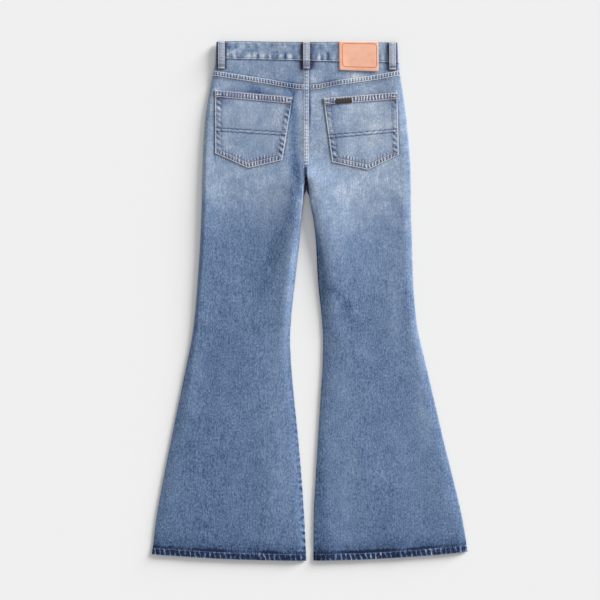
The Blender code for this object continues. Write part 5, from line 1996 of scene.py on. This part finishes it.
# ------------ settings
class JeansCloth(bpy.types.PropertyGroup):
    """How full the legs are and how the thread lies."""

    fullness: FloatProperty(
        name="Fullness", description="Extra height of the legs in their middle",
        default=0.002, min=0.0, max=0.004, unit="LENGTH",
    )
    stitch_pitch: FloatProperty(
        name="Stitch pitch", description="Distance from one stitch to the next",
        default=0.0033, min=0.002, max=0.006, unit="LENGTH",
    )
    thread_width: FloatProperty(
        name="Thread width", description="Width of one stitch's thread",
        default=0.00085, min=0.0003, max=0.002, unit="LENGTH",
    )


class JeansColours(bpy.types.PropertyGroup):
    """Thread colours and the strength of the denim's mottling."""

    thread: FloatVectorProperty(
        name="Seam thread", description="Colour of the seams' thread", subtype="COLOR", size=3,
        default=on_screen((218, 216, 218)), min=0.0, max=1.0,
    )
    hem_thread: FloatVectorProperty(
        name="Hem thread", description="Colour of the hems' faded thread", subtype="COLOR", size=3,
        default=on_screen((142, 157, 188)), min=0.0, max=1.0,
    )
    dark_thread: FloatVectorProperty(
        name="Pocket thread", description="Colour of the rows across the pockets",
        subtype="COLOR", size=3, default=on_screen((92, 78, 84)), min=0.0, max=1.0,
    )
    patch_thread: FloatVectorProperty(
        name="Patch thread", description="Colour of the patch's thread", subtype="COLOR", size=3,
        default=on_screen((206, 132, 104)), min=0.0, max=1.0,
    )
    contrast: FloatProperty(
        name="Mottling", description="Strength of the denim's mottling", default=1.0,
        min=0.0, max=3.0,
    )


class JeansStage(bpy.types.PropertyGroup):
    """Floor and light."""

    floor: FloatVectorProperty(
        name="Floor", description="Colour of the floor", subtype="COLOR", size=3,
        default=(0.872, 0.872, 0.872), min=0.0, max=1.0,
    )
    key: FloatProperty(
        name="Key light", description="Strength of the light from the upper right", default=6.08,
        min=0.0,
    )
    room: FloatProperty(
        name="Room light", description="Strength of the light from all round", default=0.5,
        min=0.0,
    )


# ------------ operators
FLOOR_SIZE = 6.0
KEY_SOFTNESS = math.radians(25)
KEY_TURN = math.radians(38)
KEY_RISE = math.radians(15)
LENS = 100.0
SENSOR_WIDTH = 36.0
CLIP_START = 0.05
CAMERA_PLACE = (-0.0202, 0.0027, 3.457)


class JEANS_OT_back_panels(bpy.types.Operator):
    """Back leg panels and yokes"""

    bl_idname = "jeans.back_panels"
    bl_label = "Back Panels"

    def execute(self, context):
        for left in (True, False):
            back_panel(left)
            yoke(left)
        return {"FINISHED"}


class JEANS_OT_front_panels(bpy.types.Operator):
    """Front leg panels"""

    bl_idname = "jeans.front_panels"
    bl_label = "Front Panels"

    def execute(self, context):
        for left in (True, False):
            front_panel(left)
        return {"FINISHED"}


class JEANS_OT_waistband(bpy.types.Operator):
    """Waistband, one folded band all round"""

    bl_idname = "jeans.waistband"
    bl_label = "Waistband"

    def execute(self, context):
        waistband()
        return {"FINISHED"}


class JEANS_OT_belt_loops(bpy.types.Operator):
    """Belt loops"""

    bl_idname = "jeans.belt_loops"
    bl_label = "Belt Loops"

    def execute(self, context):
        for row in BACK_LOOP_ROWS:
            below = "yoke_right" if row.across > 0 else "yoke_left"
            loop = belt_loop(row, back_loop_start(row), back_loop_parts)
        for row in FRONT_LOOP_ROWS:
            loop = belt_loop(row, front_loop_start(row), front_loop_parts, faces_down=True)
        return {"FINISHED"}


class JEANS_OT_back_pockets(bpy.types.Operator):
    """Back pockets"""

    bl_idname = "jeans.back_pockets"
    bl_label = "Back Pockets"

    def execute(self, context):
        for row in POCKET_ROWS:
            back_pocket(row)
        return {"FINISHED"}


class JEANS_OT_patch_and_tab(bpy.types.Operator):
    """Leather patch and woven tab, both bare"""

    bl_idname = "jeans.patch_and_tab"
    bl_label = "Patch and Tab"

    def execute(self, context):
        waist_patch()
        woven_label()
        return {"FINISHED"}


class JEANS_OT_inside(bpy.types.Operator):
    """Pocket facings, fly and button, which are kept from the solids or replaced"""

    bl_idname = "jeans.inside"
    bl_label = "Facings, Fly and Button"

    def execute(self, context):
        finishes = {"pocket_facing_left": inside_denim, "pocket_facing_right": inside_denim,
                    "fly_shield": inside_denim, "fly_zip": zip_ribbon}
        for name, finish in finishes.items():
            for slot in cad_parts[name].material_slots:
                slot.material = finish()
        tack_button()
        return {"FINISHED"}


class JEANS_OT_stitching(bpy.types.Operator):
    """Every row of stitches"""

    bl_idname = "jeans.stitching"
    bl_label = "Stitching"

    def execute(self, context):
        seam_stitches()
        hem_stitches()
        band_stitches()
        loop_stitches()
        pocket_stitches()
        patch_stitches()
        front_stitches()
        return {"FINISHED"}


class JEANS_OT_stage(bpy.types.Operator):
    """Floor, soft light from the upper right, and the camera straight above"""

    bl_idname = "jeans.stage"
    bl_label = "Stage"

    def execute(self, context):
        stage = context.scene.jeans_stage
        bm = bmesh.new()
        bmesh.ops.create_grid(bm, x_segments=1, y_segments=1, size=FLOOR_SIZE)
        mesh = mesh_of("floor", bm)
        mesh.materials.append(studio_floor())
        new_object("floor", mesh)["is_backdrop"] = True

        key = bpy.data.lights.new("key_light", "SUN")
        key.energy = stage.key
        key.angle = KEY_SOFTNESS
        lamp = new_object("key_light", key)
        towards = Vector((math.cos(KEY_TURN), math.sin(KEY_TURN), math.tan(KEY_RISE)))
        lamp.rotation_euler = towards.to_track_quat("Z", "Y").to_euler()

        world = bpy.data.worlds.new("studio")
        world.use_nodes = True
        background = world.node_tree.nodes["Background"]
        background.inputs["Color"].default_value = (1.0, 1.0, 1.0, 1.0)
        background.inputs["Strength"].default_value = stage.room
        context.scene.world = world
        context.scene.view_settings.view_transform = "Standard"

        camera = bpy.data.cameras.new("camera")
        camera.lens = LENS
        camera.sensor_width = SENSOR_WIDTH
        camera.clip_start = CLIP_START
        viewer = new_object("camera", camera)
        viewer.location = CAMERA_PLACE
        context.scene.camera = viewer
        return {"FINISHED"}


OPERATORS = (
    JEANS_OT_back_panels,
    JEANS_OT_front_panels,
    JEANS_OT_waistband,
    JEANS_OT_belt_loops,
    JEANS_OT_back_pockets,
    JEANS_OT_patch_and_tab,
    JEANS_OT_inside,
    JEANS_OT_stitching,
    JEANS_OT_stage,
)


class JEANS_PT_pieces(bpy.types.Panel):
    """Lists what the jeans are made of"""

    bl_label = "Flared Jeans"
    bl_idname = "JEANS_PT_pieces"
    bl_space_type = "VIEW_3D"
    bl_region_type = "UI"
    bl_category = "Jeans"

    def draw(self, context):
        layout = self.layout
        for settings in ("jeans_cloth", "jeans_colours", "jeans_stage"):
            group = getattr(context.scene, settings)
            for name in group.bl_rna.properties.keys():
                if name not in ("rna_type", "name"):
                    layout.prop(group, name)
        for operator in OPERATORS:
            layout.operator(operator.bl_idname)


CLASSES = (JeansCloth, JeansColours, JeansStage, *OPERATORS, JEANS_PT_pieces)


def register():
    for kind in CLASSES:
        bpy.utils.register_class(kind)
    bpy.types.Scene.jeans_cloth = PointerProperty(type=JeansCloth)
    bpy.types.Scene.jeans_colours = PointerProperty(type=JeansColours)
    bpy.types.Scene.jeans_stage = PointerProperty(type=JeansStage)


def unregister():
    del bpy.types.Scene.jeans_stage
    del bpy.types.Scene.jeans_colours
    del bpy.types.Scene.jeans_cloth
    for kind in reversed(CLASSES):
        bpy.utils.unregister_class(kind)


def main():
    register()
    for operator in OPERATORS:
        group, name = operator.bl_idname.split(".")
        getattr(getattr(bpy.ops, group), name)()
    boxes = {"cad": CAD_BOX, "visual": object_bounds()}
    {name: [list(low), list(high)] for name, (low, high) in boxes.items()}


if __name__ == "__main__":
    main()
